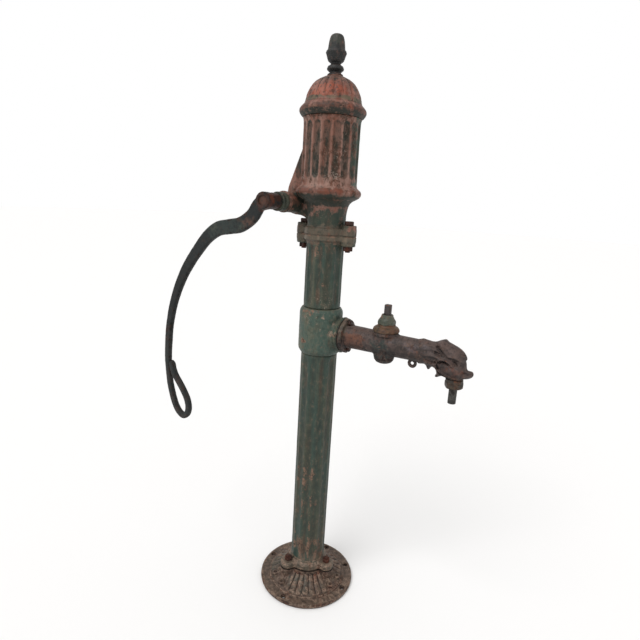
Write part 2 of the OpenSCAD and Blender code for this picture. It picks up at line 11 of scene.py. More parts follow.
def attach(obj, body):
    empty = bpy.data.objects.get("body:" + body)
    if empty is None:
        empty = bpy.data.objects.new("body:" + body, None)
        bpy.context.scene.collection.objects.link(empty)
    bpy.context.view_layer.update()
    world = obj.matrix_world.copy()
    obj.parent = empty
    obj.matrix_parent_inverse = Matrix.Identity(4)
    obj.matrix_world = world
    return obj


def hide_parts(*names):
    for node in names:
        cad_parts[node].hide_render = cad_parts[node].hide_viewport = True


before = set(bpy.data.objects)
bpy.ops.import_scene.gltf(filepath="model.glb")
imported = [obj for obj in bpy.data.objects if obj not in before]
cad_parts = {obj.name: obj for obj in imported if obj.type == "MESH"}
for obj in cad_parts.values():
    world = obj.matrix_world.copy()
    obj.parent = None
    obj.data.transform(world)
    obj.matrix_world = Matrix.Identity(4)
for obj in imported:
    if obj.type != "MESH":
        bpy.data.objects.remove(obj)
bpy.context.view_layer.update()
scene = bpy.context.scene

# ---------------------------------------------------------------- floor, light and camera
# The pump stands on a plain pale floor under an even white sky with one large soft lamp.

scene.view_settings.view_transform = "Standard"


def linear(code):
    """A colour written as six hex digits, as the renderer's linear red, green, blue, alpha."""
    parts = [int(code[i:i + 2], 16) / 255 for i in (0, 2, 4)]
    return tuple(p / 12.92 if p < 0.04045 else ((p + 0.055) / 1.055) ** 2.4 for p in parts) + (1.0,)


class Flow:
    """A value on its way through shader or geometry nodes, so that sums read as sums."""

    def __init__(self, wiring, socket):
        self.wiring, self.socket = wiring, socket

    def _sum(self, how, a, b):
        return self.wiring.math(how, a, b)

    def __add__(self, other):
        return self._sum("ADD", self, other)

    def __sub__(self, other):
        return self._sum("SUBTRACT", self, other)

    def __rsub__(self, other):
        return self._sum("SUBTRACT", other, self)

    def __mul__(self, other):
        return self._sum("MULTIPLY", self, other)

    __radd__, __rmul__ = __add__, __mul__

    def __truediv__(self, other):
        return self._sum("DIVIDE", self, other)

    def most(self, other):
        return self._sum("MAXIMUM", self, other)

    def least(self, other):
        return self._sum("MINIMUM", self, other)

    def step(self, low, high):
        """0 below low, 1 above high, and smooth between."""
        return self.wiring.put("ShaderNodeMapRange", "Result", interpolation_type="SMOOTHSTEP",
                               Value=self, From_Min=low, From_Max=high)


class Wiring:
    """Puts nodes into one tree."""

    def __init__(self, tree):
        self.tree = tree

    def set(self, socket, value):
        if isinstance(value, Flow):
            self.tree.links.new(value.socket, socket)
        else:
            socket.default_value = value

    def put(self, kind, out=0, **given):
        """Adds a node. Names with a capital are inputs, the others are the node's own settings."""
        node = self.tree.nodes.new(kind)
        for name, value in given.items():
            if not name[0].isupper():
                setattr(node, name, value)
        for name, value in given.items():
            if name[0].isupper():
                self.set(node.inputs[name.replace("_", " ")], value)
        return Flow(self, node.outputs[out])

    def math(self, how, a, b=0.0):
        node = self.tree.nodes.new("ShaderNodeMath")
        node.operation = how
        self.set(node.inputs[0], a)
        self.set(node.inputs[1], b)
        return Flow(self, node.outputs[0])

    def stretch(self, vector, by):
        node = self.tree.nodes.new("ShaderNodeVectorMath")
        node.operation = "MULTIPLY"
        self.set(node.inputs[0], vector)
        self.set(node.inputs[1], by)
        return Flow(self, node.outputs[0])

    def noise(self, vector, scale, detail=5.0, roughness=0.6):
        return self.put("ShaderNodeTexNoise", "Fac", Vector=vector, Scale=scale, Detail=detail,
                        Roughness=roughness)

    def mix(self, share, a, b):
        node = self.tree.nodes.new("ShaderNodeMix")
        node.data_type = "RGBA"
        for index, value in ((0, share), (6, a), (7, b)):
            self.set(node.inputs[index], value)
        return Flow(self, node.outputs[2])

    def ways_in(self, **kinds):
        """Named inputs of a node group, given as (socket type, first value)."""
        for name, (kind, value) in kinds.items():
            socket = self.tree.interface.new_socket(name.replace("_", " "), in_out="INPUT", socket_type=kind)
            if value is not None:
                socket.default_value = value
        node = self.tree.nodes.new("NodeGroupInput")
        return {name: Flow(self, node.outputs[name.replace("_", " ")]) for name in kinds}

    def ways_out(self, **flows):
        for name, (kind, _) in flows.items():
            self.tree.interface.new_socket(name, in_out="OUTPUT", socket_type=kind)
        node = self.tree.nodes.new("NodeGroupOutput")
        for name, (_, flow) in flows.items():
            self.tree.links.new(flow.socket, node.inputs[name])


def new_material(name):
    """A material with one Principled BSDF, and the wiring to add to it."""
    material = bpy.data.materials.new(name)
    material.use_nodes = True
    wiring = Wiring(material.node_tree)
    return material, wiring, material.node_tree.nodes["Principled BSDF"]


floor_size = 30.0
floor_mesh = bpy.data.meshes.new("studio_floor")
floor_mesh.from_pydata([(x * floor_size, y * floor_size, -0.0005) for x,
                        y in ((-1, -1), (1, -1), (1, 1), (-1, 1))],
                       [], [(0, 1, 2, 3)])
studio_floor = bpy.data.objects.new("studio_floor", floor_mesh)
scene.collection.objects.link(studio_floor)
floor_paper, _, shell = new_material("floor_paper")
shell.inputs["Base Color"].default_value = linear("faf9f8")
shell.inputs["Roughness"].default_value = 0.9
shell.inputs["Specular IOR Level"].default_value = 0.1
floor_mesh.materials.append(floor_paper)

sky = bpy.data.worlds.new("white_studio")
sky.use_nodes = True
sky.node_tree.nodes["Background"].inputs["Color"].default_value = (1.0, 1.0, 1.0, 1.0)
sky_wiring = Wiring(sky.node_tree)
seen = sky_wiring.put("ShaderNodeLightPath", "Is Camera Ray")
sky_wiring.set(sky.node_tree.nodes["Background"].inputs["Strength"], seen * 0.25 + 0.75)
scene.world = sky
lamp = bpy.data.lights.new("soft_lamp", "SUN")
lamp.angle, lamp.energy = math.radians(35), 1.25
lamp_holder = bpy.data.objects.new("soft_lamp", lamp)
lamp_holder.rotation_euler = Euler((math.radians(38), 0, math.radians(-14)))
scene.collection.objects.link(lamp_holder)

eye = bpy.data.objects.new("camera", bpy.data.cameras.new("camera"))
eye_distance, eye_height = 1.3743, 1.1962
eye.location = (eye_distance * 0.5, -eye_distance * math.cos(math.radians(30)), eye_height)
eye.rotation_euler = (Matrix.Rotation(math.radians(30.115), 3, "Z") @ Matrix.Rotation(math.radians(76.509),
                                                                                      3, "X")
                      @ Matrix.Rotation(math.radians(3.289), 3, "Z")).to_euler()
eye.data.lens, eye.data.sensor_width = 27.32, 36.0
scene.collection.objects.link(eye)
scene.camera = eye

# ---------------------------------------------------------------- the foot
# Round cast foot: flat plate with ground bolt holes, and a hollow bell covered in fans of ribs.
# Sand-cast grey iron, once painted, now mostly rust. It bolts to the ground.


def soft_join(a, b, k):
    """Both shapes, with a fillet of about k where they meet."""
    h = np.clip(0.5 + 0.5 * (b - a) / k, 0, 1)
    return b * (1 - h) + a * h - k * h * (1 - h)


def soft_cut(a, b, k):
    """Shape a without shape b."""
    return -soft_join(-a, b, k)


def soft_both(a, b, k):
    """What lies in both shapes, with rounded edges."""
    return -soft_join(-a, -b, k)


def slab(along, low, high):
    return np.abs(along - (low + high) / 2) - (high - low) / 2


def rod(across, along, r, low, high, k=1.0):
    """A round bar: across is the distance from its axis."""
    return soft_both(across - r, slab(along, low, high), k)


def between(a, b, c, d, t):
    """The point at share t of the way from b to c, on a smooth curve through all four."""
    return 0.5 * (2 * b + (c - a) * t + (2 * a - 5 * b + 4 * c - d) * t ** 2
                  + (3 * b - a - 3 * c + d) * t ** 3)


def rounded(points, steps=4):
    """A closed outline with its corners drawn as smooth curves."""
    p = np.array(points, float)
    a, b, c, d = (np.roll(p, n, 0) for n in (1, 0, -1, -2))
    return np.stack([between(a, b, c, d, t) for t in np.arange(steps) / steps], 1).reshape(-1, 2)


def outline(points, step=0.7, margin=14.0):
    """The signed distance to a closed outline, as a function of two coordinates."""
    p = np.array(points, float)
    low = p.min(0) - margin
    n = np.ceil((p.max(0) + margin - low) / step).astype(int) + 1
    u, v = np.meshgrid(low[0] + step * np.arange(n[0]), low[1] + step * np.arange(n[1]), indexing="ij")
    near, inside = np.full(u.shape, 1e9), np.zeros(u.shape, bool)
    for a, b in zip(p, np.roll(p, -1, 0)):
        e = b - a
        if not e.any():
            continue
        t = np.clip(((u - a[0]) * e[0] + (v - a[1]) * e[1]) / (e @ e), 0, 1)
        near = np.minimum(near, (u - a[0] - e[0] * t) ** 2 + (v - a[1] - e[1] * t) ** 2)
        if e[1]:
            inside ^= ((a[1] > v) != (b[1] > v)) & (u < a[0] + (v - a[1]) * e[0] / e[1])
    table = (np.sqrt(near) * np.where(inside, -1, 1)).astype(np.float32)

    def distance(x, y):
        i = np.clip((x - low[0]) / step, 0, n[0] - 1.001)
        j = np.clip((y - low[1]) / step, 0, n[1] - 1.001)
        i0, j0 = i.astype(int), j.astype(int)
        a, b = (i - i0).astype(np.float32), (j - j0).astype(np.float32)
        return ((table[i0, j0] * (1 - a) + table[i0 + 1, j0] * a) * (1 - b)
                + (table[i0, j0 + 1] * (1 - a) + table[i0 + 1, j0 + 1] * a) * b)

    return distance


def sand_skin(p, size, seed):
    """Gentle unevenness of a sand-cast skin, between -1 and 1, at points p."""
    rng = np.random.default_rng(seed)
    total = np.zeros(len(p))
    for _ in range(9):
        way = rng.normal(size=3)
        way *= 2 * math.pi / (size * rng.uniform(0.5, 1.6) * np.linalg.norm(way))
        total += np.sin(p @ way + rng.uniform(0, 6.28))
    return total / 4.5


def mesh_piece(name, points, faces, finish, smooth=True, **marks):
    """A finished object in metres; marks are values kept at its points."""
    mesh = bpy.data.meshes.new(name)
    points, faces = np.asarray(points, float), np.asarray(faces)
    count, corners = faces.shape
    mesh.vertices.add(len(points))
    mesh.vertices.foreach_set("co", (points / 1000).astype(np.float32).ravel())
    mesh.loops.add(count * corners)
    mesh.loops.foreach_set("vertex_index", faces.astype(np.int32).ravel())
    mesh.polygons.add(count)
    mesh.polygons.foreach_set("loop_start", np.arange(0, count * corners, corners, dtype=np.int32))
    mesh.polygons.foreach_set("use_smooth", np.full(count, smooth))
    for mark, values in marks.items():
        mesh.attributes.new(mark, "FLOAT", "POINT").data.foreach_set("value", values.astype(np.float32))
    mesh.update(calc_edges=True)
    mesh.validate()
    mesh.materials.append(finish)
    piece = bpy.data.objects.new(name, mesh)
    scene.collection.objects.link(piece)
    return piece


def cast(name, field, low, high, cell, finish, uneven=0.25, seed=1, sunk=None):
    """Casts the solid where field(x, y, z) is below zero, inside the box from low to high.
    sunk(x, y, z) marks more places that count as hollow; the finish darkens hollows with grime and painted
    shade."""
    axes = [np.arange(a - 2.3 * cell, b + 2.7 * cell, cell, dtype=np.float32) for a, b in zip(low, high)]
    x, y, z = np.meshgrid(*axes, indexing="ij", sparse=True)
    f = np.ascontiguousarray(np.broadcast_to(field(x, y, z), [len(a) for a in axes]))
    full = (f < 0).astype(np.int8)
    shape = [n - 1 for n in f.shape]
    count = sum(full[i:i + shape[0], j:j + shape[1], k:k + shape[2]] for i, j,
                k in product((0, 1), repeat=3))
    mixed = (count > 0) & (count < 8)
    number = np.zeros(mixed.shape, np.int64)
    number[mixed] = np.arange(mixed.sum())
    ijk = np.argwhere(mixed)
    total, crossings = np.zeros((len(ijk), 3)), np.zeros(len(ijk))
    for axis in range(3):
        unit = np.eye(3, dtype=int)[axis]
        for b, c in product((0, 1), repeat=2):
            start = np.insert(np.array([b, c]), axis, 0)
            f0, f1 = (f[tuple((ijk + start + d * unit).T)] for d in (0, 1))
            cross = (f0 < 0) != (f1 < 0)
            t = np.where(cross, f0 / np.where(cross, f0 - f1, 1), 0)
            total += cross[:, None] * (start + t[:, None] * unit)
            crossings += cross
    p = np.array([a[0] for a in axes]) + (ijk + total / crossings[:, None]) * cell
    faces = []
    for axis in range(3):
        b, c = (axis + 1) % 3, (axis + 2) % 3
        step = np.diff(full, axis=axis)
        for sign in (-1, 1):
            at = np.argwhere(step == sign)
            at = at[(at[:, b] > 0) & (at[:, c] > 0)]
            ring = []
            for db, dc in ((1, 1), (0, 1), (0, 0), (1, 0))[::-sign]:
                cell_at = at.copy()
                cell_at[:, b] -= db
                cell_at[:, c] -= dc
                ring.append(number[tuple(cell_at.T)])
            faces.append(np.stack(ring, 1))

    def at(q):
        return np.asarray(field(*q.T), float)

    def slope(q, h=0.4):
        g = np.stack([at(q + h * e) - at(q - h * e) for e in np.eye(3)], 1) / (2 * h)
        return g, np.linalg.norm(g, axis=1)[:, None] + 1e-9

    for _ in range(2):
        g, size = slope(p)
        move = at(p)[:, None] * g / size ** 2
        far = np.linalg.norm(move, axis=1)[:, None] + 1e-9
        p = p - move * np.minimum(1, 0.5 * cell / far)
    g, size = slope(p)
    n = g / size
    if uneven:
        p = p + n * (uneven * (sand_skin(p, 60, seed) * 0.6 + sand_skin(p, 17, seed + 1) * 0.4))[:, None]
    # hollow: how deep each point lies in a hollow, which the finish darkens with grime and painted shade
    hollow = np.clip(1 - at(p + 5 * n) / 5, 0, 1)
    if sunk:
        hollow = np.maximum(hollow, sunk(*p.T))
    p = np.clip(p, low, high)
    worn = np.clip((1 + at(p - 3.5 * n) / 3.5) * 2, 0, 1)
    return mesh_piece(name, p, np.concatenate(faces), finish, hollow=hollow, worn=worn)


def coat_group():
    """Old paint over primer over rusty iron, with grime and painted shade in hollows and on undersides: what
    colour, how rough and how high it is at each place.
    """
    tree = bpy.data.node_groups.new("weathered_coat", "ShaderNodeTree")
    w = Wiring(tree)
    color, value = "NodeSocketColor", "NodeSocketFloat"
    i = w.ways_in(Paint=(color, linear("454c42")), Faded=(color, linear("55523f")),
                  Primer=(color, linear("8a7866")),
                  Iron=(color, linear("3a2a22")), Rust=(color, linear("9a5030")),
                  Grime=(color, linear("25231f")),
                  Chips=(value, 0.4), Bare=(value, 0.5), Edge_wear=(value, 0.5), Streaks=(value, 0.6),
                  Rusting=(value, 0.5), Dirt=(value, 0.6), Flecks=(value, 0.2), Run=(value, 0.15),
                  Stain=(value, 0.0), Mottle=(value, 0.6))
    place = w.put("ShaderNodeTexCoord", "Object")
    worn = w.put("ShaderNodeAttribute", "Fac", attribute_name="worn")
    hollow = w.put("ShaderNodeAttribute", "Fac", attribute_name="hollow")
    run = w.stretch(place, w.put("ShaderNodeCombineXYZ", X=1.0, Y=1.0, Z=i["Run"]))
    half_run = w.stretch(place, w.put("ShaderNodeCombineXYZ", X=1.0, Y=1.0, Z=i["Run"] * 0.5 + 0.5))
    streak, fine_streak = w.noise(run, 34.0, 5.0), w.noise(run, 120.0, 4.0, 0.7)
    blotch, crumb, grit = w.noise(place, 13.0, 4.0), w.noise(half_run, 52.0, 6.0, 0.66), w.noise(place,
                                                                                                 210.0, 4.0,
                                                                                                 0.7)
    # the paint itself, faded and sooty in runs down the piece
    fade = (streak * 0.6 + blotch * 0.15 + fine_streak * 0.25 + (i["Streaks"] - 0.5) * 0.2).step(0.44, 0.58)
    paint = w.mix(fade, i["Paint"], i["Faded"])
    soot = (fine_streak * 0.6 + crumb * 0.4).step(0.47, 0.66)
    paint = w.mix(soot * 0.6, paint, i["Grime"])
    # where it has chipped: first to the primer, then to bare iron
    loss = (blotch * 0.34 + crumb * 0.46 + grit * 0.2 + worn * i["Edge_wear"] * 0.14
            + (i["Chips"] - 0.5) * 0.24)
    chipped = loss.step(0.552, 0.566)
    bared = (loss + (i["Bare"] - 0.5) * 0.16).step(0.592, 0.606)
    under = w.mix(w.noise(place, 90.0, 5.0).step(0.42, 0.6), i["Primer"],
                  w.mix(0.45, i["Primer"], i["Iron"]))
    patch = w.noise(half_run, 30.0, 6.0, 0.65)
    iron = w.mix((patch + (i["Rusting"] - 0.5) * 0.3).step(0.46, 0.62), i["Iron"], i["Rust"])
    iron = w.mix(grit.step(0.45, 0.62) * 0.5, iron, w.mix(0.6, i["Iron"], i["Grime"]))
    colour = w.mix(bared, w.mix(chipped, paint, under), iron)
    # rust weeping from the bare places; upward faces paler with dust and painted top light; hollows and
    # undersides darker with grime and painted shade; pale flecks of old primer
    weep = (w.noise(run, 60.0,
                    4.0) * 0.6 + blotch * 0.4 + (i["Rusting"] - 0.5) * 0.3 + hollow * 0.1).step(0.48, 0.64)
    colour = w.mix(weep * 0.55, colour, w.mix(0.3, i["Rust"], i["Iron"]))
    split = tree.nodes.new("ShaderNodeSeparateXYZ")
    w.set(split.inputs[0], w.put("ShaderNodeNewGeometry", "Normal"))
    facing_up = Flow(w, split.outputs["Z"])
    # pale dust on upward faces, which also serves as painted top light
    colour = w.mix(facing_up.step(0.4, 1.0) * 0.4 * (0.3 + crumb * 1.4), colour,
                   w.mix(0.4, i["Faded"], i["Primer"]))
    # painted shade: faces that look downwards, and everything lying in a hollow, are darkened together with
    # real grime
    below = (0.0 - facing_up).step(-0.25, 0.8) * 0.8
    uneven = (streak * 0.5 + crumb * 0.5).step(0.36, 0.6) * 0.8 + 0.35
    shade_and_dirt = ((hollow * 1.2 + below) * i["Dirt"] * uneven + i["Stain"] * (uneven * 0.5 + 0.5)).least(1.0)
    colour = w.mix(shade_and_dirt, colour, i["Grime"])
    grain = w.noise(half_run, 100.0, 6.0, 0.72)
    colour = w.mix((0.5 - grain).step(0.01, 0.12) * i["Mottle"], colour, i["Grime"])
    colour = w.mix((grain - 0.5).step(0.02, 0.15) * i["Mottle"] * 0.75, colour, i["Primer"])
    fleck = w.noise(place, 330.0, 3.0, 0.6) * 0.6 + blotch * 0.4 + (i["Flecks"] - 0.5) * 0.3
    colour = w.mix(fleck.step(0.56, 0.6) * 0.75, colour, w.mix(0.35, i["Primer"], linear("c9beb2")))
    rough = chipped * 0.15 + bared * 0.15 + grit * 0.25 + shade_and_dirt * 0.1 + 0.4
    height = ((1.0 - chipped) * 0.35 + (1.0 - bared) * 0.25 + grit * bared * 0.5 + grit * 0.25
              + grain * 0.7 + crumb * 0.4)
    w.ways_out(Color=(color, colour), Roughness=(value, rough), Height=(value, height))
    return tree


def spot_group():
    """1 inside a ragged-edged patch round a centre, 0 outside, for a finish that differs in one place."""
    tree = bpy.data.node_groups.new("ragged_patch", "ShaderNodeTree")
    w = Wiring(tree)
    i = w.ways_in(Centre=("NodeSocketVector", None), Reach=("NodeSocketVector", None),
                  Ragged=("NodeSocketFloat", 0.5))
    place = w.put("ShaderNodeTexCoord", "Object")
    node = tree.nodes.new("ShaderNodeVectorMath")
    node.operation = "SUBTRACT"
    w.set(node.inputs[0], place)
    w.set(node.inputs[1], i["Centre"])
    share = tree.nodes.new("ShaderNodeVectorMath")
    share.operation = "DIVIDE"
    w.set(share.inputs[0], Flow(w, node.outputs[0]))
    w.set(share.inputs[1], i["Reach"])
    length = tree.nodes.new("ShaderNodeVectorMath")
    length.operation = "LENGTH"
    w.set(length.inputs[0], Flow(w, share.outputs[0]))
    ragged = (w.noise(place, 45.0, 6.0, 0.65) - 0.5) * i["Ragged"] * 5.0
    mask = 1.0 - (Flow(w, length.outputs["Value"]) + ragged).step(0.7, 1.1)
    w.ways_out(Mask=("NodeSocketFloat", mask))
    return tree


weathered_coat, ragged_patch = coat_group(), spot_group()


def weathered(name, bump=0.0012, metal=0.0, patches=(), **look):
    """A weathered material. Each patch is (input name, centre, reach, value there) in millimetres."""
    material, w, shell = new_material(name)
    coat = w.tree.nodes.new("ShaderNodeGroup")
    coat.node_tree = weathered_coat
    for key, value in look.items():
        coat.inputs[key.replace("_", " ")].default_value = linear(value) if isinstance(value, str) else value
    for key, centre, reach, value in patches:
        spot = w.tree.nodes.new("ShaderNodeGroup")
        spot.node_tree = ragged_patch
        spot.inputs["Centre"].default_value = [c / 1000 for c in centre]
        spot.inputs["Reach"].default_value = [r / 1000 for r in reach]
        mask, socket = Flow(w, spot.outputs["Mask"]), coat.inputs[key]
        before = Flow(w, socket.links[0].from_socket) if socket.is_linked else None
        if isinstance(value, str):
            w.set(socket, w.mix(mask, before or tuple(socket.default_value), linear(value)))
        else:
            old = before or socket.default_value
            w.set(socket, mask * (value - old) + old)
    ridge = w.tree.nodes.new("ShaderNodeBump")
    ridge.inputs["Strength"].default_value = 0.8
    ridge.inputs["Distance"].default_value = bump
    for a, b in ((coat.outputs["Color"], shell.inputs["Base Color"]),
                 (coat.outputs["Roughness"], shell.inputs["Roughness"]),
                 (coat.outputs["Height"], ridge.inputs["Height"]),
                 (ridge.outputs["Normal"], shell.inputs["Normal"])):
        w.tree.links.new(a, b)
    shell.inputs["Metallic"].default_value = metal
    shell.inputs["Specular IOR Level"].default_value = 0.35
    return material


def fit(piece, body, slot, *nodes):
    """The piece rides on its body and stands for its CAD nodes, which are hidden. slot is not used."""
    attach(piece, body)
    if nodes:
        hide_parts(*nodes)
    return piece


def degrees_round(x, y):
    return np.degrees(np.arctan2(y, x))


foot_bell = outline([(0, 6), (118, 6), (118, 14), (115, 18.5), (109, 21), (101, 24), (93, 28.5), (85, 34.5),
                     (78, 41.5), (72, 49), (68, 55), (66.5, 58), (0, 58)])
foot_hollow = outline([(0, -8), (102, -8), (100, 8), (56, 39), (48, 46), (0, 46)])
foot_r, foot_top, foot_ear_r = 149, 58, 70


def round_places(radius, angles):
    """Places on a circle round the column, at these angles in degrees."""
    return [(radius * math.cos(math.radians(a)), radius * math.sin(math.radians(a))) for a in angles]


foot_ears = round_places(foot_ear_r, (0, 120, 240))
ground_bolts = round_places(134, (0, 45, 90, 180, 270))


def foot_field(x, y, z):
    r, turn = np.hypot(x, y), degrees_round(x, y)
    plate = rod(r, z, foot_r, 0, 12, 5)
    from_fan = np.mod(turn + 120, 120) - 60          # degrees from the middle of the nearest fan
    from_ear = 60 - np.abs(from_fan)                 # degrees from the nearest ear's axis
    # fans of seven round ribs between the ears, each rib ending in its own rounded tip
    across = from_fan / 11.3
    rib = np.sqrt(np.clip(1 - (2 * np.mod(across + 0.5, 1) - 1) ** 2, 0, 1))
    fan = np.clip((3.55 - np.abs(across)) * 4, 0, 1) * np.clip((r - 64) / 7, 0,
                                                               1) * np.clip((112 + 4 * rib - r) / 5, 0, 1)
    bell = foot_bell(r, z) + 1.4 - fan * (5.8 * rib - 1.6)
    # a leaf under each ear: a middle vein and two side veins that end in scrolls
    ear_x, ear_y = r * np.cos(np.radians(from_ear)), r * np.sin(np.radians(from_ear))
    side = np.abs(ear_y - (8 + 0.0045 * np.clip(ear_x - 60, 0, 60) ** 2))
    leaf = np.exp(-(ear_y / 4.5) ** 2) + 1.2 * np.exp(-(side / 3.6) ** 2)
    bell = bell - 3.0 * leaf * np.clip((116 - r) / 8, 0, 1) * np.clip((r - 62) / 8, 0, 1)
    whorl = np.hypot(ear_x - 102, ear_y - 22)
    scroll = np.minimum(np.hypot(whorl - 7, z - 24) - 3.6, np.hypot(whorl, z - 25) - 2.6)
    bell = soft_join(bell, scroll, 3)
    bead = np.hypot(r - 118, z - 12.5) - 3.2
    solid = soft_join(soft_join(plate, bell, 4), bead, 3)
    for ex, ey in foot_ears:
        solid = soft_join(solid, rod(np.hypot(x - ex, y - ey), z, 23.5, 20, foot_top, 2), 5)
    for hx, hy in ground_bolts:
        solid = soft_cut(solid, rod(np.hypot(x - hx, y - hy), z, 7, -9, 30, 0.5), 1.2)
    solid = np.maximum(solid, z - foot_top)
    hollow = soft_cut(foot_hollow(r, z), rod(r, z, 34, 8, 60), 2)
    for ex, ey in foot_ears:
        hollow = soft_cut(hollow, rod(np.hypot(x - ex, y - ey), z, 12, 22, 60), 2)
    return soft_cut(soft_cut(solid, hollow, 2), r - 22.4, 1)


foot_iron = weathered("rusted_foot_iron", Paint="513d33", Faded="4b4236", Primer="8d7665", Iron="3a2a23",
                      Rust="6b3a28", Grime="1e1612", Chips=0.55, Bare=0.35, Edge_wear=1.5, Streaks=0.4,
                      Rusting=0.38, Dirt=1.0, Flecks=0.12, Run=1.0, bump=0.0016,
                      patches=(("Paint", (-95, -35, 30), (45, 45, 40), "3c3d33"),
                               ("Paint", (20, -80, 25), (40, 30, 30), "41423a"),
                               ("Paint", (0, 0, 6), (170, 170, 14), "3c2f28"),
                               ("Faded", (0, 0, 6), (170, 170, 14), "3c332a"),
                               ("Faded", (10, -60, 45), (60, 40, 30), "6b5e51")))
fit(cast("cast_foot", foot_field, (-foot_r, -foot_r, 0), (foot_r, foot_r, foot_top), 1.75, foot_iron,
         uneven=0.35, seed=3),
    "stand", "rust_iron", "base_plate")

# ---------------------------------------------------------------- foot joint
# Three studs cast into the foot's ears pass through the column's flange; a nut holds each.
# Wrought iron, rusted a dark red-brown, on a gasket of greased leather.


def node_tree(name, **kinds):
    """An empty geometry tree with named inputs."""
    tree = bpy.data.node_groups.new(name, "GeometryNodeTree")
    w = Wiring(tree)
    return tree, w, w.ways_in(**kinds)


def plain_mesh(piece, tree, **given):
    """Runs a geometry tree on a piece with these inputs, and keeps the result as its own mesh."""
    modifier = piece.modifiers.new("shape", "NODES")
    modifier.node_group = tree
    for item in tree.interface.items_tree:
        key = item.name.replace(" ", "_")
        if item.in_out == "INPUT" and key in given:
            modifier[item.identifier] = given[key]
    bpy.context.view_layer.update()
    made = bpy.data.meshes.new_from_object(piece.evaluated_get(bpy.context.evaluated_depsgraph_get()))
    piece.modifiers.clear()
    old, piece.data = piece.data, made
    made.name = piece.name
    bpy.data.meshes.remove(old)
    return piece


def row_tree():
    """Sets a copy of one shape on every point, each turned by its own random amount."""
    tree, w, i = node_tree("set_on_points", Geometry=("NodeSocketGeometry", None),
                           Shape=("NodeSocketObject", None),
                           Tilt=("NodeSocketVector", None), Spread=("NodeSocketFloat", 0.0),
                           Seed=("NodeSocketInt", 1), Finish=("NodeSocketMaterial", None))
    shape = w.put("GeometryNodeObjectInfo", "Geometry", Object=i["Shape"])
    chance = w.put("FunctionNodeRandomValue", 1, data_type="FLOAT", Max=i["Spread"], Seed=i["Seed"])
    own = w.put("ShaderNodeCombineXYZ", Z=chance)
    turn = w.tree.nodes.new("FunctionNodeRotateEuler")
    turn.rotation_type, turn.space = "EULER", "LOCAL"
    w.set(turn.inputs["Rotation"], i["Tilt"])
    w.set(turn.inputs["Rotate By"], own)
    placed = w.put("GeometryNodeInstanceOnPoints", Points=i["Geometry"], Instance=shape,
                   Rotation=Flow(w, turn.outputs[0]))
    real = w.put("GeometryNodeRealizeInstances", Geometry=placed)
    done = w.put("GeometryNodeSetMaterial", Geometry=real, Material=i["Finish"])
    w.ways_out(Geometry=("NodeSocketGeometry", done))
    return tree


set_on_points = row_tree()


def row(name, places, shape_field, low, high, cell, finish, tilt=(0, 0, 0), spread=6.28, seed=1, uneven=0.2):
    """Casts one shape and sets a copy at each place."""
    shape = cast(name + "_pattern", shape_field, low, high, cell, finish, uneven=uneven, seed=seed)
    points = bpy.data.meshes.new(name)
    points.from_pydata([[c / 1000 for c in place] for place in places], [], [])
    piece = bpy.data.objects.new(name, points)
    scene.collection.objects.link(piece)
    plain_mesh(piece, set_on_points, Shape=shape, Tilt=tilt, Spread=spread, Seed=seed, Finish=finish)
    bpy.data.objects.remove(shape)
    return piece


def hexagon(x, y, across):
    """Distance to a hexagon that measures across from flat to flat."""
    return np.maximum(np.abs(y), np.maximum(np.abs(x * 0.866 + y * 0.5),
                                            np.abs(x * 0.866 - y * 0.5))) - across / 2


def nut_field(across, tall, bore):
    def field(x, y, z):
        r = np.hypot(x, y)
        body = soft_both(hexagon(x, y, across), slab(z, 0, tall), 1.4)
        cone = r + np.maximum(z - tall, -z) * 1.6 - across * 0.56
        return soft_cut(soft_both(body, cone, 1.2), r - bore, 0.8)
    return field


bolt_rust = weathered("bolt_rust", Paint="341e19", Faded="3f261c", Primer="492e23", Iron="261714",
                      Rust="582c1b", Grime="150e0b", Chips=0.6, Bare=0.6, Edge_wear=0.8, Rusting=0.55,
                      Dirt=0.7, Flecks=0.0, Run=1.0, bump=0.0008)
fit(row("foot_stud_set", [(x, y, 30) for x, y in foot_ears],
        lambda x, y, z: rod(np.hypot(x, y), z, 5.9 + 0.25 * np.sin(z * 4.2), 0, 66, 1.2),
        (-7, -7, 0), (7, 7, 66), 0.9, bolt_rust, seed=5), "stand", "rust_iron", "foot_studs")
fit(row("foot_nut_set", [(x, y, 80) for x, y in foot_ears], nut_field(21, 11, 6),
        (-13, -13, 0), (13, 13, 11), 0.7, bolt_rust, seed=6), "stand", "rust_iron", "foot_nuts")


def dress(node, finish):
    """A CAD node keeps its own shape and takes a better finish."""
    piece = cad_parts[node]
    piece.data.materials.clear()
    piece.data.materials.append(finish)


gasket_leather = weathered("greased_gasket", Paint="201a16", Faded="2c241e", Primer="393028", Iron="1a1612",
                           Rust="39261c", Grime="120f0d", Chips=0.4, Rusting=0.3, Run=1.0, Flecks=0.1,
                           bump=0.0004)
for node in ("foot_gasket", "spout_gasket"):
    dress(node, gasket_leather)

# ---------------------------------------------------------------- lower column
# Hollow fluted standard with a three-eared flange at its foot, cast in one piece in grey iron.
# Deep green paint over a pinkish primer, streaked by the weather and chipped along the ribs.


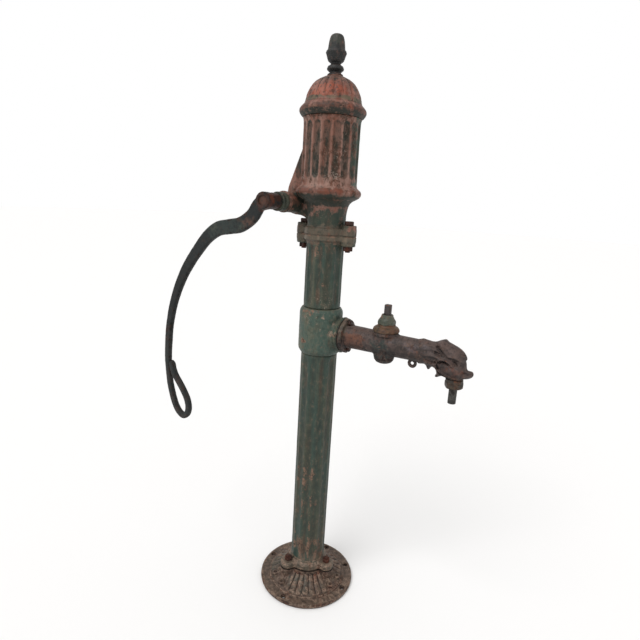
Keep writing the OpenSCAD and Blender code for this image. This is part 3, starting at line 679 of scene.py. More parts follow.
def shaft_tree():
    """A hollow column whose wall is cut by shallow flutes that run out softly at both ends."""
    tree, w, i = node_tree(
        "fluted_shaft", Radius=("NodeSocketFloat", 0.053), Bore=("NodeSocketFloat", 0.042),
        Low=("NodeSocketFloat", 0.0),
        High=("NodeSocketFloat", 1.0), Flutes=("NodeSocketInt", 12), Sink=("NodeSocketFloat", 0.003),
        First=("NodeSocketFloat", 0.1), Last=("NodeSocketFloat", 0.9), Rows=("NodeSocketInt", 90),
        Finish=("NodeSocketMaterial", None))
    tall, middle = i["High"] - i["Low"], (i["High"] + i["Low"]) * 0.5

    def bar(radius, extra, round_sides, rows):
        made = w.put("GeometryNodeMeshCylinder", "Mesh", Vertices=round_sides, Side_Segments=rows,
                     Radius=radius, Depth=tall + extra)
        return w.put("GeometryNodeTransform", Geometry=made,
                     Translation=w.put("ShaderNodeCombineXYZ", Z=middle))

    place = w.put("GeometryNodeInputPosition")
    split = w.tree.nodes.new("ShaderNodeSeparateXYZ")
    w.set(split.inputs[0], place)
    x, y, z = (Flow(w, split.outputs[k]) for k in range(3))
    share = w.math("FRACT", w.math("ARCTAN2", y, x) * i["Flutes"] / (2 * math.pi) + 20.0)
    across = (share - 0.5) * 2.0             # -1 to 1 over one flute and its half ribs
    end = ((z - i["First"]) / 0.014).least((i["Last"] - z) / 0.014)
    cup = 1.0 - (across / 0.78) * (across / 0.78) - w.math("POWER", (1.0 - end.least(1.0)).most(0.0), 2.0)
    deep = w.math("POWER", cup.most(0.0).least(1.0), 0.7)
    sway = (w.put("ShaderNodeTexNoise", "Fac", Vector=place, Scale=16.0, Detail=2.0) - 0.5) * 0.0012
    out = w.put("ShaderNodeCombineXYZ", X=x, Y=y)
    unit = w.tree.nodes.new("ShaderNodeVectorMath")
    unit.operation = "NORMALIZE"
    w.set(unit.inputs[0], out)
    push = w.tree.nodes.new("ShaderNodeVectorMath")
    push.operation = "SCALE"
    w.set(push.inputs[0], Flow(w, unit.outputs[0]))
    w.set(push.inputs["Scale"], sway - i["Sink"] * deep - 0.0004)
    wall = w.put("GeometryNodeSetPosition", Geometry=bar(i["Radius"], 0.0, 288, i["Rows"]),
                 Offset=Flow(w, push.outputs[0]))
    worn = (w.math("ABSOLUTE", across) - 0.66).step(0.0, 0.2) * end.step(-0.5, 1.0)
    # the flutes are marked hollow, for grime and painted shade in them; worn marks the rib crests
    for mark, flow in (("hollow", deep * 0.75), ("worn", worn * 0.5)):
        wall = w.put("GeometryNodeStoreNamedAttribute", Geometry=wall, Name=mark, Value=flow)
    cut = w.tree.nodes.new("GeometryNodeMeshBoolean")
    cut.operation = "DIFFERENCE"
    w.set(cut.inputs["Mesh 1"], wall)
    w.set(cut.inputs["Mesh 2"], bar(i["Bore"], 0.02, 96, 1))
    smooth = w.put("GeometryNodeSetShadeSmooth", Geometry=Flow(w, cut.outputs[0]), Shade_Smooth=True)
    real = w.put("GeometryNodeRealizeInstances", Geometry=smooth)
    w.ways_out(Geometry=("NodeSocketGeometry", w.put("GeometryNodeSetMaterial", Geometry=real,
                                                     Material=i["Finish"])))
    return tree


fluted_shaft = shaft_tree()
column_r, bore_r = 53, 42


def column(name, finish, **sizes):
    piece = bpy.data.objects.new(name, bpy.data.meshes.new(name))
    scene.collection.objects.link(piece)
    sizes = {key: value / 1000 if key not in ("Flutes", "Rows") else value for key, value in sizes.items()}
    return plain_mesh(piece, fluted_shaft, Finish=finish, **sizes)


def merge(name, *pieces):
    """Joins pieces of one casting into one object."""
    with bpy.context.temp_override(active_object=pieces[0], selected_editable_objects=list(pieces)):
        bpy.ops.object.join()
    pieces[0].name = pieces[0].data.name = name
    return pieces[0]


def foot_flange_field(x, y, z):
    r = np.hypot(x, y)
    plan = r - 61.5
    for ex, ey in foot_ears:
        along = np.clip((x * ex + y * ey) / foot_ear_r ** 2, 0, 1)
        plan = soft_join(plan, np.hypot(x - ex * along, y - ey * along) - 23.5, 7)
    solid = soft_both(plan, slab(z, 60, 80), 5)
    solid = soft_join(solid, rod(r, z, 53.6, 60, 91, 2), 9)
    for ex, ey in foot_ears:
        seat = np.hypot(x - ex, y - ey)
        solid = soft_cut(solid, rod(seat, z, 14.5, 80, 90, 0.5), 1)
        solid = soft_cut(solid, seat - 6.4, 0.5)
    return soft_cut(solid, r - bore_r, 0.5)


green = dict(Paint="2f4138", Faded="47493a", Primer="7d6251", Iron="40342a", Rust="6b4630", Grime="1e2722",
             Chips=0.26, Bare=0.35, Edge_wear=0.55, Streaks=0.62, Rusting=0.3, Dirt=0.5, Flecks=0.1,
             Run=0.1, Mottle=0.35)
column_green = weathered("column_green", **green, patches=(
    ("Chips", (10, -50, 230), (40, 40, 190), 0.55),
    ("Chips", (25, -45, 120), (60, 60, 60), 0.75),
    ("Paint", (-40, -35, 420), (30, 40, 400), "334640"),
    ("Rusting", (10, -50, 480), (60, 40, 230), 0.15),
    ("Faded", (0, 0, 330), (120, 120, 230), "3d4133"),
    ("Faded", (25, -50, 90), (80, 60, 28), "665c4e")))
lower_shaft = column("lower_shaft", column_green, Radius=column_r, Bore=bore_r, Low=88, High=772, Flutes=12,
                     Sink=3.4, First=94, Last=764, Rows=110)
flange_tan = weathered("foot_flange_tan", Paint="5a5145", Faded="6d6052", Primer="937c6b", Iron="41332a",
                       Rust="774830", Grime="28241e", Chips=0.5, Bare=0.3, Edge_wear=0.9, Streaks=0.5,
                       Rusting=0.35, Dirt=0.7, Flecks=0.15, Run=1.0, bump=0.0012,
                       patches=(("Paint", (0, 0, 90), (60, 60, 9), "424a3e"),))
foot_flange = cast("foot_flange", foot_flange_field, (-86, -86, 60), (96, 86, 91), 1.6, flange_tan, seed=8)
fit(merge("fluted_lower_column", lower_shaft, foot_flange), "stand", "green_paint", "lower_column")

# ---------------------------------------------------------------- spout tee
# Plain collar between the two columns with a round branch that flares to the spout flange.
# Same green paint, badly chipped round the branch.

spout_z, spout_bolt_up = 836.0, 36
tee_wall = outline([(0, 772.6), (53.5, 772.6), (56, 774.5), (61.5, 783), (62.6, 789), (62.6, 891),
                    (61.4, 898), (57, 905.5), (53.6, 907.5), (0, 907.5)])


def spout_flange_plan(y, z):
    """The two-bolt flange of the spout joint, a little taller than wide, seen along the pipe."""
    up = z - spout_z
    plan = np.hypot(y, up) - 46.6
    return soft_join(plan, np.hypot(y, np.abs(up) - spout_bolt_up) - 13.6, 5)


def tee_field(x, y, z):
    r, around = np.hypot(x, y), np.hypot(y, z - spout_z)
    branch = rod(around - 0.02 * np.clip(x - 47, 0, 30) ** 2, x, 35, 30, 76, 1)
    solid = soft_join(tee_wall(r, z), branch, 12)
    solid = soft_join(solid, soft_both(spout_flange_plan(y, z), slab(x, 66, 78), 2.5), 4)
    solid = soft_cut(solid, rod(r, z, bore_r, 760, 920), 0.6)
    return soft_cut(np.maximum(solid, x - 78), rod(around, x, 22, 30, 90), 0.6)


tee_green = weathered("tee_green", **{**green, "Paint": "3e5046", "Faded": "555a4b", "Chips": 0.31,
                                      "Flecks": 0.2, "Run": 0.5, "Streaks": 0.45}, patches=(
    ("Paint", (70, -40, 815), (14, 40, 40), "333e34"),
    ("Chips", (58, -36, 846), (20, 30, 14), 0.85),
    ("Chips", (45, -45, 872), (34, 40, 30), 0.66),
    ("Chips", (-20, -60, 812), (16, 20, 8), 0.9),
    ("Primer", (45, -45, 868), (34, 40, 36), "8f8070"),
    ("Flecks", (30, -55, 885), (50, 40, 30), 0.5),
    ("Chips", (-10, -60, 895), (26, 20, 12), 0.75)))
fit(cast("spout_branch_tee", tee_field, (-63, -63, 772), (78, 63, 908), 1.7, tee_green, seed=11),
    "stand", "green_paint", "spout_tee")

# ---------------------------------------------------------------- spout
# One casting: round flange, tapering pipe, body of the plug cock, chain eye, and a water-beast's
# head with leafy cheeks. Bare iron under a thin brown film of rust.

cock_x, outlet_x = 205.0, 402.0
beast_side = outline(rounded([(300, 30), (333, 30.5), (345, 32.5), (356, 38.5), (367, 43), (371, 42),
                              (377, 37.5), (388, 33.5), (404, 27.5), (416, 20), (424, 11), (427.5, 3),
                              (425.5, -3), (427.5, -10), (429, -20), (432, -25.5), (437, -26), (443, -26.5),
                              (446.8, -30), (447.5, -36), (444, -42), (436, -47), (426, -50), (418, -52),
                              (414, -55), (384, -56), (378, -55), (370, -54), (364, -56.5), (358, -59.5),
                              (353, -58.5), (352, -55), (354.5, -51), (354.5, -46), (352, -39.5),
                              (347, -35.5), (342, -35), (338, -38), (334.5, -43.5), (331.5, -43.5),
                              (328, -38), (322, -31.5), (300, -30)], 3), step=0.6)


def stroke(x, up, points, wide):
    """1 on a drawn line in the side view, fading to 0 at about twice its width."""
    near = 1e9
    for (ax, az), (bx, bz) in zip(points, points[1:]):
        ex, ez = bx - ax, bz - az
        t = np.clip(((x - ax) * ex + (up - az) * ez) / (ex * ex + ez * ez), 0, 1)
        near = np.minimum(near, (x - ax - ex * t) ** 2 + (up - az - ez * t) ** 2)
    return np.exp(-near / wide ** 2)


beast_folds = (                                          # height of the relief, width, line in the side view
    (-4.2, 3.4, [(324, 8), (338, 11), (352, 11), (366, 7)]),             # hollow above the upper cheek leaf
    (4.0, 4.6, [(326, -1), (340, 1), (352, 2), (364, -1)]),              # upper cheek leaf
    (-4.4, 3.0, [(322, -8), (333, -13), (346, -16), (354, -15)]),
    (3.4, 3.6, [(328, -20), (342, -20), (354, -26), (360, -33)]),        # lower cheek leaf
    (-3.6, 2.4, [(356, -14), (360, -22), (364, -28)]),
    (-4.0, 3.0, [(350, 30), (357, 21), (367, 12)]),                      # fold behind the crest
    (3.2, 4.6, [(360, 36), (369, 26), (381, 14), (388, 8)]),             # crest ridge
    (-3.0, 2.6, [(363, 20), (371, 13)]),
    (4.4, 3.4, [(358, -17), (362, -9), (370, -3), (381, -3), (392, -8), (399, -15)]),    # brow
    (-4.0, 2.8, [(364, -13), (371, -9), (381, -9), (388, -13)]),         # eyelid hollow
    (3.4, 4.2, [(371, -20), (378, -17)]),                                # eyeball
    (-5.0, 6.0, [(402, -8), (406, -14)]),                                # hollow beside the snout
    (3.0, 3.6, [(394, 8), (408, 6), (417, -1)]),
    (3.6, 8.0, [(396, -29), (406, -33)]),                                # jowl
    (4.0, 2.4, [(360, -30), (372, -38), (388, -45), (404, -50), (418, -51)]),            # upper lip
    (-5.4, 2.6, [(364, -40), (378, -48), (394, -54)]),                   # mouth
    (2.6, 2.4, [(420, -44), (432, -42), (443, -36)]),                    # snout's rim
    (-2.8, 2.4, [(424, -32), (434, -34), (441, -33)]),
    (-2.6, 2.2, [(333, 21), (348, 21), (360, 27)]))


def beast_field(x, y, up):
    aside = np.abs(y)
    half = np.interp(x, [300, 330, 345, 372, 396, 412, 424, 436, 450],
                     [22, 28, 29, 28.5, 28, 26, 21, 17, 13])
    side = beast_side(x, up)
    depth = np.clip(-side / 27, 0.02, 1)                 # thin at the crest, the gill tips and the snout
    pillow = (aside - half * np.sqrt(1 - (1 - depth) ** 2)) * 0.85
    relief = sum(h * stroke(x, up, line, wide) for h, wide, line in beast_folds)
    return soft_both(side, pillow - relief * 1.15 * np.clip((aside - 3) / 6, 0, 1), 3)


def spout_field(x, y, z):
    up, across = z - spout_z, np.hypot(x - cock_x, y)
    around = np.hypot(y, up)
    pipe_r = np.interp(x, [80, 97, 110, 170, 240, 345], [35.5, 34.5, 33, 32, 30.6, 29.2])
    solid = soft_both(around - pipe_r, slab(x, 80, 350), 3)
    solid = soft_join(solid, soft_both(spout_flange_plan(y, z), slab(x, 80, 92), 2.5), 4)
    body_r = np.interp(z, [782, 786, 792, 800, 850, 857, 862, 871], [15, 22, 26.5, 28.6, 29, 31, 33.8, 33.8])
    solid = soft_join(solid, soft_both((across - body_r) * 0.85, slab(z, 782, 870), 3), 6)
    solid = soft_join(solid, beast_field(x, y, up), 5)
    eye_ring = np.hypot(x - 287, z - 798)
    solid = soft_join(solid, np.hypot(eye_ring - 8.6, y) - 4.3, 2.5)
    solid = soft_join(solid, rod(np.hypot(x - outlet_x, y), z, 20, 781.6, 812, 2), 5)
    for s in (-1, 1):
        seat = np.hypot(y, up - spout_bolt_up * s)
        solid = soft_cut(solid, rod(seat, x, 10.8, 92, 102, 0.5), 1.2)
        solid = soft_cut(solid, rod(seat, x, 5.5, 70, 110, 0.5), 0.5)
    solid = soft_cut(solid, rod(around, x, 17, 70, outlet_x), 0.6)
    solid = soft_cut(solid, rod(np.hypot(x - outlet_x, y), z, 15, 760, 846), 0.6)
    solid = soft_cut(solid, rod(across - (z - 802) / 29, z, 22.05, 798, 860.5, 0.3), 0.6)
    solid = soft_cut(solid, rod(across, z, 28.1, 860, 900, 0.3), 0.6)
    return np.maximum(solid, 80 - x)


spout_rust = weathered("spout_rust", Paint="423632", Faded="54443f", Primer="665248", Iron="33261f",
                       Rust="74422b", Grime="1a1413", Chips=0.45, Bare=0.5, Edge_wear=0.7, Streaks=0.5,
                       Rusting=0.4, Dirt=1.1, Flecks=0.02, Run=1.0, bump=0.0012, patches=(
                           ("Rusting", (118, -20, 832), (36, 40, 30), 1.1),
                           ("Faded", (118, -20, 832), (40, 40, 34), "6a4938"),
                           ("Faded", (86, -20, 862), (14, 60, 46), "6f6152"),
                           ("Paint", (86, -20, 862), (14, 60, 46), "574d40"),
                           ("Stain", (96, -44, 826), (16, 12, 22), 0.5),
                           ("Paint", (205, -20, 808), (36, 40, 46), "2b332f"),
                           ("Faded", (205, -20, 808), (40, 40, 50), "343c38"),
                           ("Rusting", (205, -20, 808), (40, 40, 50), 0.1),
                           ("Stain", (205, -20, 800), (40, 40, 30), 0.25),
                           ("Rusting", (402, -14, 806), (24, 20, 15), 1.1),
                           ("Rust", (402, -14, 806), (24, 20, 15), "6f3823"),
                           ("Paint", (388, 0, 786), (30, 40, 9), "2c302a"),
                           ("Faded", (388, 0, 786), (30, 40, 9), "363a32"),
                           ("Paint", (290, -20, 826), (62, 60, 40), "322925"),
                           ("Faded", (290, -20, 826), (62, 60, 30), "463a35"),
                           # The pale greyish band along the upper side of the pipe is a painted highlight.
                           ("Faded", (285, -20, 850), (70, 60, 12), "5a4f50")))
fit(cast("beast_head_spout", spout_field, (80, -47, 776), (447.9, 47, 887), 1.5, spout_rust, uneven=0.3,
         seed=13),
    "stand", "rust_iron", "spout")

# Two hexagon-headed bolts, above and below the pipe, screwed into the tee's flange.


def spout_bolt_field(x, y, z):
    r = np.hypot(x, y)
    head = soft_both(soft_both(hexagon(x, y, 17), slab(z, 12, 20), 1.2), r + (z - 20) * 1.6 - 9.3, 1.0)
    return soft_join(head, rod(r, z, 5, -12, 14, 0.6), 0.5)


fit(row("spout_bolt_pair", [(80, 0, spout_z + s * spout_bolt_up) for s in (-1, 1)], spout_bolt_field,
        (-10, -10, -12), (10, 10, 20),
        0.7, bolt_rust, tilt=(0, math.pi / 2, 0), seed=15), "stand", "rust_iron", "spout_bolts")

# ---------------------------------------------------------------- plug cock
# A tapered plug turns in the spout's cock body. A rusty bonnet closes it, a green gland nut
# squeezes the packing, and a key fits the bare square of the spindle.


def turned_field(shape, at=(0.0, 0.0), more=None):
    """A turned piece on a vertical axis; more(solid, x, y, z) finishes it."""
    def field(x, y, z):
        solid = shape(np.hypot(x - at[0], y - at[1]), z)
        return more(solid, x, y, z) if more else solid
    return field


def plug_field(x, y, z):
    a, b = x - cock_x, y
    r = np.hypot(a, b)
    plug = rod(r - (z - 802) * 0.0323, z, 22.0, 802, 859.6, 1.0)
    solid = soft_join(plug, rod(r, z, 12.2, 850, 914, 1.2), 0.6)
    square = soft_both(np.maximum(np.abs(a), np.abs(b)) - 8.5, r - 10.9, 1.6)
    tip = soft_both(soft_both(square, slab(z, 908, 944), 1.2), r + (z - 944) * 0.9 - 9.6, 1.2)
    solid = soft_join(solid, tip, 1.2)
    return soft_cut(solid, rod(np.hypot(b, z - spout_z), a, 15, -40, 40), 0.5)


spindle_iron = weathered("spindle_iron", Paint="3a3534", Faded="423c3a", Primer="4e4641", Iron="312825",
                         Rust="673e2a", Grime="1b1715", Chips=0.5, Bare=0.5, Edge_wear=0.7, Rusting=0.45,
                         Dirt=0.4, Flecks=0.0, Run=0.3, bump=0.0006)
fit(cast("cock_plug_and_spindle", plug_field, (178, -27, 802), (232, 27, 944), 1.1, spindle_iron,
         uneven=0.12, seed=17),
    "cock", "dark_steel", "cock_plug")

bonnet_side = outline([(0, 860.6), (27.8, 860.6), (27.8, 870), (34.5, 870), (36, 872), (36, 876),
                       (34.5, 879.5), (31, 883), (26, 885.5), (24.4, 887.5), (24, 890), (0, 890)], step=0.5)
fit(cast("cock_bonnet_ring", turned_field(bonnet_side, (cock_x, 0), lambda s, x, y, z: soft_cut(soft_cut(
    s, np.hypot(x - cock_x, y) - 12.3, 0.4), rod(np.hypot(x - cock_x, y), z, 18, 872, 900), 0.5)),
    (169, -36, 860), (241, 36, 890), 1.1,
    weathered("bonnet_rust", Paint="433629", Faded="4e4230", Primer="644d38", Iron="3a2d25", Rust="75442b",
              Grime="241c16", Chips=0.5, Bare=0.5, Rusting=0.75, Dirt=0.6, Flecks=0.03, Run=1.0,
              bump=0.0009), seed=19),
    "stand", "rust_iron", "cock_bonnet")

gland_side = outline([(0, 882), (17.9, 882), (17.9, 890.4), (24.6, 890.4), (25, 893), (25, 898), (23.6, 901),
                      (19, 907), (16.6, 912), (15.4, 917), (0, 917)], step=0.5)


def gland_nut_more(solid, x, y, z):
    a, b = x - cock_x, y
    solid = np.where(z > 902.5, solid, soft_both(solid, hexagon(b, a, 43.5), 1.5))
    return soft_cut(solid, np.hypot(a, b) - 12.6, 0.4)


gland_green = weathered("gland_green", **{**green, "Paint": "454c42", "Faded": "56574a", "Chips": 0.35,
                                          "Run": 1.0, "Flecks": 0.1, "Rusting": 0.3, "Dirt": 0.6}, bump=0.0008)
fit(cast("cock_gland_nut_cone", turned_field(gland_side, (cock_x, 0), gland_nut_more), (180, -25, 882),
         (230, 25, 917), 1.0, gland_green, seed=21), "stand", "green_paint", "cock_gland_nut")
packing_flax = weathered("packing_flax", Paint="332d25", Faded="453c30", Primer="544a3b", Iron="2a241e",
                         Rust="4d3a2a", Grime="1c1916", Chips=0.5, Run=1.0, Flecks=0.0, bump=0.0006)
for node in ("cock_packing", "shaft_packing", "rod_packing"):
    dress(node, packing_flax)

# ---------------------------------------------------------------- outlet
# A rusty reducing bush screwed up into the beast's chin, and a short nipple of half-inch pipe.


def bush_field(x, y, z):
    a = x - outlet_x
    r, turn = np.hypot(a, y), np.arctan2(y, a)
    collar = rod(r - 0.7 * np.sin(turn * 9) * np.clip((779 - z) / 6, 0, 1), z, 22.2, 771, 782, 3)
    six = soft_both(soft_both(hexagon(a, y, 41.6), slab(z, 757, 773), 2.2), r - (z - 757) * 1.1 - 20.3, 2)
    solid = soft_join(soft_join(collar, six, 2.5), rod(r, z, 14.9, 780, 800), 1)
    solid = soft_cut(solid, rod(r, z, 10.4, 740, 777), 0.6)
    return soft_cut(solid, r - 8, 0.6)


fit(cast("outlet_reducing_bush", bush_field, (378, -24, 757), (426, 24, 800), 1.0,
         weathered("bush_rust", Paint="332e28", Faded="3d3429", Primer="4c4031", Iron="302620",
                   Rust="683c24", Grime="181412", Chips=0.5, Rusting=0.5, Dirt=0.9, Flecks=0.03, Run=1.0,
                   bump=0.0011), uneven=0.5, seed=23),
    "stand", "rust_iron", "outlet_bush")


def nipple_field(x, y, z):
    a = x - outlet_x
    r, turn = np.hypot(a, y), np.arctan2(y, a) / (2 * math.pi)
    thread = 0.5 * np.abs(2 * np.mod(z / 1.81 - turn, 1) - 1) * np.clip((735 - z) / 4, 0, 1)
    tube = rod(r + thread, z, 10.6, 715, 757, 0.8)
    return soft_cut(soft_join(tube, rod(r, z, 10.3, 755, 777, 0.5), 0.4), r - 8, 0.5)


fit(cast("outlet_pipe_nipple", nipple_field, (390, -12, 715), (414, 12, 777), 0.62,
         weathered("pipe_grey", Paint="343432", Faded="3c3c38", Primer="4b4844", Iron="2a2724",
                   Rust="4c3729", Grime="181715", Chips=0.45, Rusting=0.25, Dirt=0.5, Flecks=0.03, Run=0.4,
                   bump=0.0005), uneven=0.06, seed=25),
    "stand", "dark_steel", "outlet_nipple")

# ---------------------------------------------------------------- upper column and neck joint
# The same fluted standard above the tee, ending in the lower half of the two-eared neck joint.
# Square-headed bolts drop through the thick ears, with nuts below.


neck_ear_x = 71


def eared_plan(x, y):
    """The neck joint's outline: a round flange with two long ears along X."""
    along = np.clip(np.abs(x), 0, neck_ear_x)
    return soft_join(np.hypot(x, y) - 60.3, np.hypot(np.abs(x) - along, y) - 20.6, 9)


def from_neck_bolt(x, y):
    return np.hypot(np.abs(x) - neck_ear_x, y)


def ear_blocks(x, y, z, low, high):
    return rod(from_neck_bolt(x, y), z, 20.6, low, high, 4)


def neck_low_field(x, y, z):
    r = np.hypot(x, y)
    solid = soft_both(eared_plan(x, y), slab(z, 1097, 1125), 5)
    solid = soft_join(solid, ear_blocks(x, y, z, 1085, 1125), 5)
    solid = soft_join(solid, rod(r, z, 53.4, 1088, 1111, 2), 7)
    solid = soft_cut(np.maximum(solid, z - 1111), from_neck_bolt(x, y) - 7.4, 0.5)
    return soft_cut(soft_cut(solid, r - bore_r, 0.5), rod(r, z, 46.1, 1103, 1120, 0.3), 0.5)


upper_green = weathered("upper_column_green", **{**green, "Chips": 0.3, "Flecks": 0.16}, patches=(
    ("Flecks", (0, -50, 1060), (60, 40, 40), 0.36), ("Chips", (-30, -45, 1080), (40, 40, 50), 0.5),
    ("Flecks", (35, -40, 930), (26, 40, 40), 0.4), ("Faded", (-5, -50, 1010), (16, 40, 110), "565442"),
    ("Paint", (0, 0, 1105), (120, 120, 20), "564d40"), ("Faded", (0, 0, 1105), (120, 120, 20), "6d6151"),
    ("Chips", (0, 0, 1105), (120, 120, 20), 0.42)))
upper_shaft = column("upper_shaft", upper_green, Radius=column_r, Bore=bore_r, Low=908, High=1096, Flutes=12,
                     Sink=3.4, First=918, Last=1089, Rows=40)
neck_flange = cast("neck_flange", neck_low_field, (-91, -61, 1085), (91, 61, 1111), 1.6, upper_green,
                   seed=27)
fit(merge("fluted_upper_column", upper_shaft, neck_flange), "stand", "green_paint", "upper_column")


def neck_gasket_field(x, y, z):
    solid = soft_both(eared_plan(x, y), slab(z, 1111, 1113), 0.4)
    return soft_cut(soft_cut(solid, from_neck_bolt(x, y) - 7.4, 0.3), np.hypot(x, y) - 46.1, 0.3)


# The joint's packing is flush with the flanges and painted over with them.
fit(cast("neck_joint_packing", neck_gasket_field, (-91, -61, 1111), (91, 61, 1113), 1.1, upper_green,
         uneven=0, seed=28),
    "stand", "gasket", "neck_gasket")


def neck_bolt_field(x, y, z):
    r = np.hypot(x, y)
    square = soft_both(np.maximum(np.abs(x), np.abs(y)) - 11.8, r - 15.4, 2)
    head = soft_both(soft_both(square, slab(z, 73, 84), 2), r + (z - 84) * 1.5 - 14.5, 1.5)
    return soft_join(head, rod(r, z, 6.95, 0, 76, 1), 0.6)


neck_places = [(s * neck_ear_x, 0, 1069) for s in (-1, 1)]
fit(row("neck_bolt_pair", neck_places, neck_bolt_field, (-13, -13, 0), (13, 13, 84), 1.0, bolt_rust,
        spread=0.9, seed=29),
    "stand", "rust_iron", "neck_bolts")
fit(row("neck_nut_pair", [(x, y, z + 4) for x, y, z in neck_places], nut_field(25, 12, 7), (-15, -15, 0),
        (15, 15, 12), 0.9, bolt_rust, seed=31), "stand", "rust_iron", "neck_nuts")

# ---------------------------------------------------------------- head
# Hollow grey-iron casting: neck, mouldings, fluted barrel, and at the back the wedge-shaped
# housing with the boss that carries the lever shaft. Red and salmon paint worn to iron.

shaft_x, shaft_z, barrel_flutes = -90.0, 1195.0, 18
head_wall = outline([(0, 1113.4), (53, 1113.4), (53.2, 1166), (54.6, 1178), (57, 1189), (61, 1198),
                     (68, 1205), (77, 1209.5), (84.5, 1214), (89, 1220), (90, 1226), (87.5, 1232),
                     (82, 1236.5), (77.6, 1241), (76.2, 1248), (76, 1402), (76.6, 1409), (78.4, 1414.6),
                     (72, 1414.6), (72, 1427), (0, 1427)])
head_bore = outline([(0, 1105), (46, 1105), (46, 1225), (69, 1228), (69, 1440), (0, 1440)])
housing_side = outline([(-30, 1143), (-50, 1150), (-59, 1157), (-72, 1161), (-90, 1162.5), (-107, 1167),
                        (-119, 1180), (-123, 1195), (-121.5, 1212), (-116, 1238), (-76, 1336), (-30, 1344)])
housing_room = outline([(-30, 1142), (-40, 1149), (-50, 1156.5), (-59, 1161.5), (-72, 1164), (-90, 1170),
                        (-108, 1178), (-115.5, 1195), (-110, 1236), (-70, 1326), (-30, 1334)])


def barrel_flute(x, y, z):
    """Distance to the nearest of the round cutters with round ends."""
    r, turn = np.hypot(x, y), np.arctan2(y, x)
    aside = (np.mod(turn * barrel_flutes / (2 * math.pi), 1) - 0.5) * (2 * math.pi * 76 / barrel_flutes)
    past = np.maximum(np.maximum(1270 - z, z - 1392), 0)
    return np.sqrt((r - 84.6) ** 2 + aside ** 2 + past ** 2) - 12.4


def head_field(x, y, z):
    r = np.hypot(x, y)
    solid = soft_cut(head_wall(r, z), barrel_flute(x, y, z), 1.3)
    out = np.hypot(x - shaft_x, z - shaft_z)
    housing = soft_both(housing_side(x, z), np.abs(y) - 24.6, 3)
    solid = soft_join(solid, housing, 5)
    front = rod(out - 0.045 * (y + 87), y, 26.4, -87, 0, 2.5)
    lip = rod(out, y, 28.6, -87, -78, 2)
    back = rod(out, y, 26.6, 0, 50, 2.5)
    solid = soft_join(solid, soft_join(np.minimum(front, back), lip, 3), 5)
    solid = soft_join(solid, soft_both(eared_plan(x, y), slab(z, 1100, 1132), 6), 7)
    solid = soft_join(solid, ear_blocks(x, y, z, 1100, 1142), 4)
    solid = soft_cut(np.maximum(solid, 1113 - z), rod(from_neck_bolt(x, y), z, 7.4, 1100, 1160, 0.5), 0.5)
    room = np.minimum(head_bore(r, z), soft_both(housing_room(x, z), np.abs(y) - 18, 2))
    room = np.minimum(room, rod(out, y, 17, -100, 60, 0.4))
    room = np.minimum(room, rod(out, y, 21, -100, -55, 0.4))
    return soft_cut(solid, room, 0.8)


head_red = weathered("head_red", Paint="835a4c", Faded="9a796c", Primer="5c4032", Iron="3e2b22",
                     Rust="8a4226", Grime="23271f", Chips=0.5, Bare=0.5, Edge_wear=0.25, Streaks=0.5,
                     Rusting=0.52, Dirt=1.0, Flecks=0.3, Run=0.1, bump=0.0012, patches=(
                         ("Paint", (70, 45, 1330), (64, 64, 100), "394f43"),
                         ("Faded", (70, 45, 1330), (62, 62, 100), "495d4f"),
                         ("Rusting", (70, 45, 1330), (62, 62, 100), 0.1),
                         ("Chips", (70, 45, 1330), (62, 62, 100), 0.25),
                         ("Paint", (-60, -45, 1270), (60, 26, 90), "7e5243"),
                         ("Paint", (0, 0, 1150), (100, 100, 50), "28362c"),
                         ("Faded", (0, 0, 1150), (100, 100, 50), "3c4033"),
                         ("Rusting", (0, 0, 1150), (100, 100, 50), 0.15),
                         ("Mottle", (0, 0, 1165), (100, 100, 40), 0.35),
                         ("Chips", (0, 0, 1150), (100, 100, 50), 0.3),
                         # The two darker bands under the moulding's lip are painted shade.
                         ("Stain", (0, 0, 1212), (130, 130, 9), 0.5),
                         ("Stain", (0, 0, 1199), (130, 130, 13), 0.85),
                         ("Paint", (0, 0, 1120), (120, 120, 22), "564d40"),
                         ("Faded", (0, 0, 1120), (120, 120, 22), "6d6151"),
                         ("Stain", (-48, -48, 1172), (34, 34, 36), 0.75),
                         ("Flecks", (0, -76, 1266), (90, 50, 14), 0.55),
                         ("Paint", (0, -20, 1227), (110, 110, 10), "573225"),
                         ("Faded", (0, -20, 1227), (110, 110, 10), "6f4539"),
                         ("Rusting", (40, -70, 1226), (50, 40, 10), 0.9),
                         ("Faded", (-90, -60, 1195), (40, 40, 36), "6a584c")))
# The barrel's flutes count as hollows, so they take grime and painted shade.
fit(cast("fluted_pump_head", head_field, (-123, -90, 1113), (91, 91, 1427), 2.2, head_red, uneven=0.3,
         seed=33,
         sunk=lambda x, y, z: np.clip(0.62 - barrel_flute(x, y, z) / 2.5, 0, 0.62) * (np.hypot(x, y) > 70)),
    "stand", "red_paint", "head_casting")

# The gland ring on the shaft boss is painted green; the blind end of the bore has a hexagon plug.


def gland_ring_field(x, y, z):
    out = np.hypot(x - shaft_x, z - shaft_z)
    ring = rod(out + 2.6 * np.exp(-((y + 101) / 3.4) ** 2), y, 25.3, -114.5, -87, 2.2)
    solid = soft_join(ring, rod(out, y, 20.9, -88, -74, 0.6), 0.6)
    return soft_cut(solid, out - 12.9, 0.6)


fit(cast("shaft_gland_ring", gland_ring_field, (-116, -115, 1169), (-64, -74, 1221), 1.1,
         weathered("ring_green", **{**green, "Paint": "2e342c", "Faded": "444639", "Primer": "615344",
                                    "Chips": 0.42, "Run": 1.0,
                                    "Dirt": 0.8, "Edge_wear": 0.9}, bump=0.0009), seed=35),
    "stand", "green_paint", "gland_ring")


def rear_plug_field(x, y, z):
    a, b = x - shaft_x, z - shaft_z
    out = np.hypot(a, b)
    head = soft_both(soft_both(hexagon(a, b, 39.6), slab(y, 50, 57), 1.5), out + (y - 57) * 1.5 - 22, 1)
    return soft_join(head, rod(out, y, 16.9, 41, 52, 0.6), 0.5)


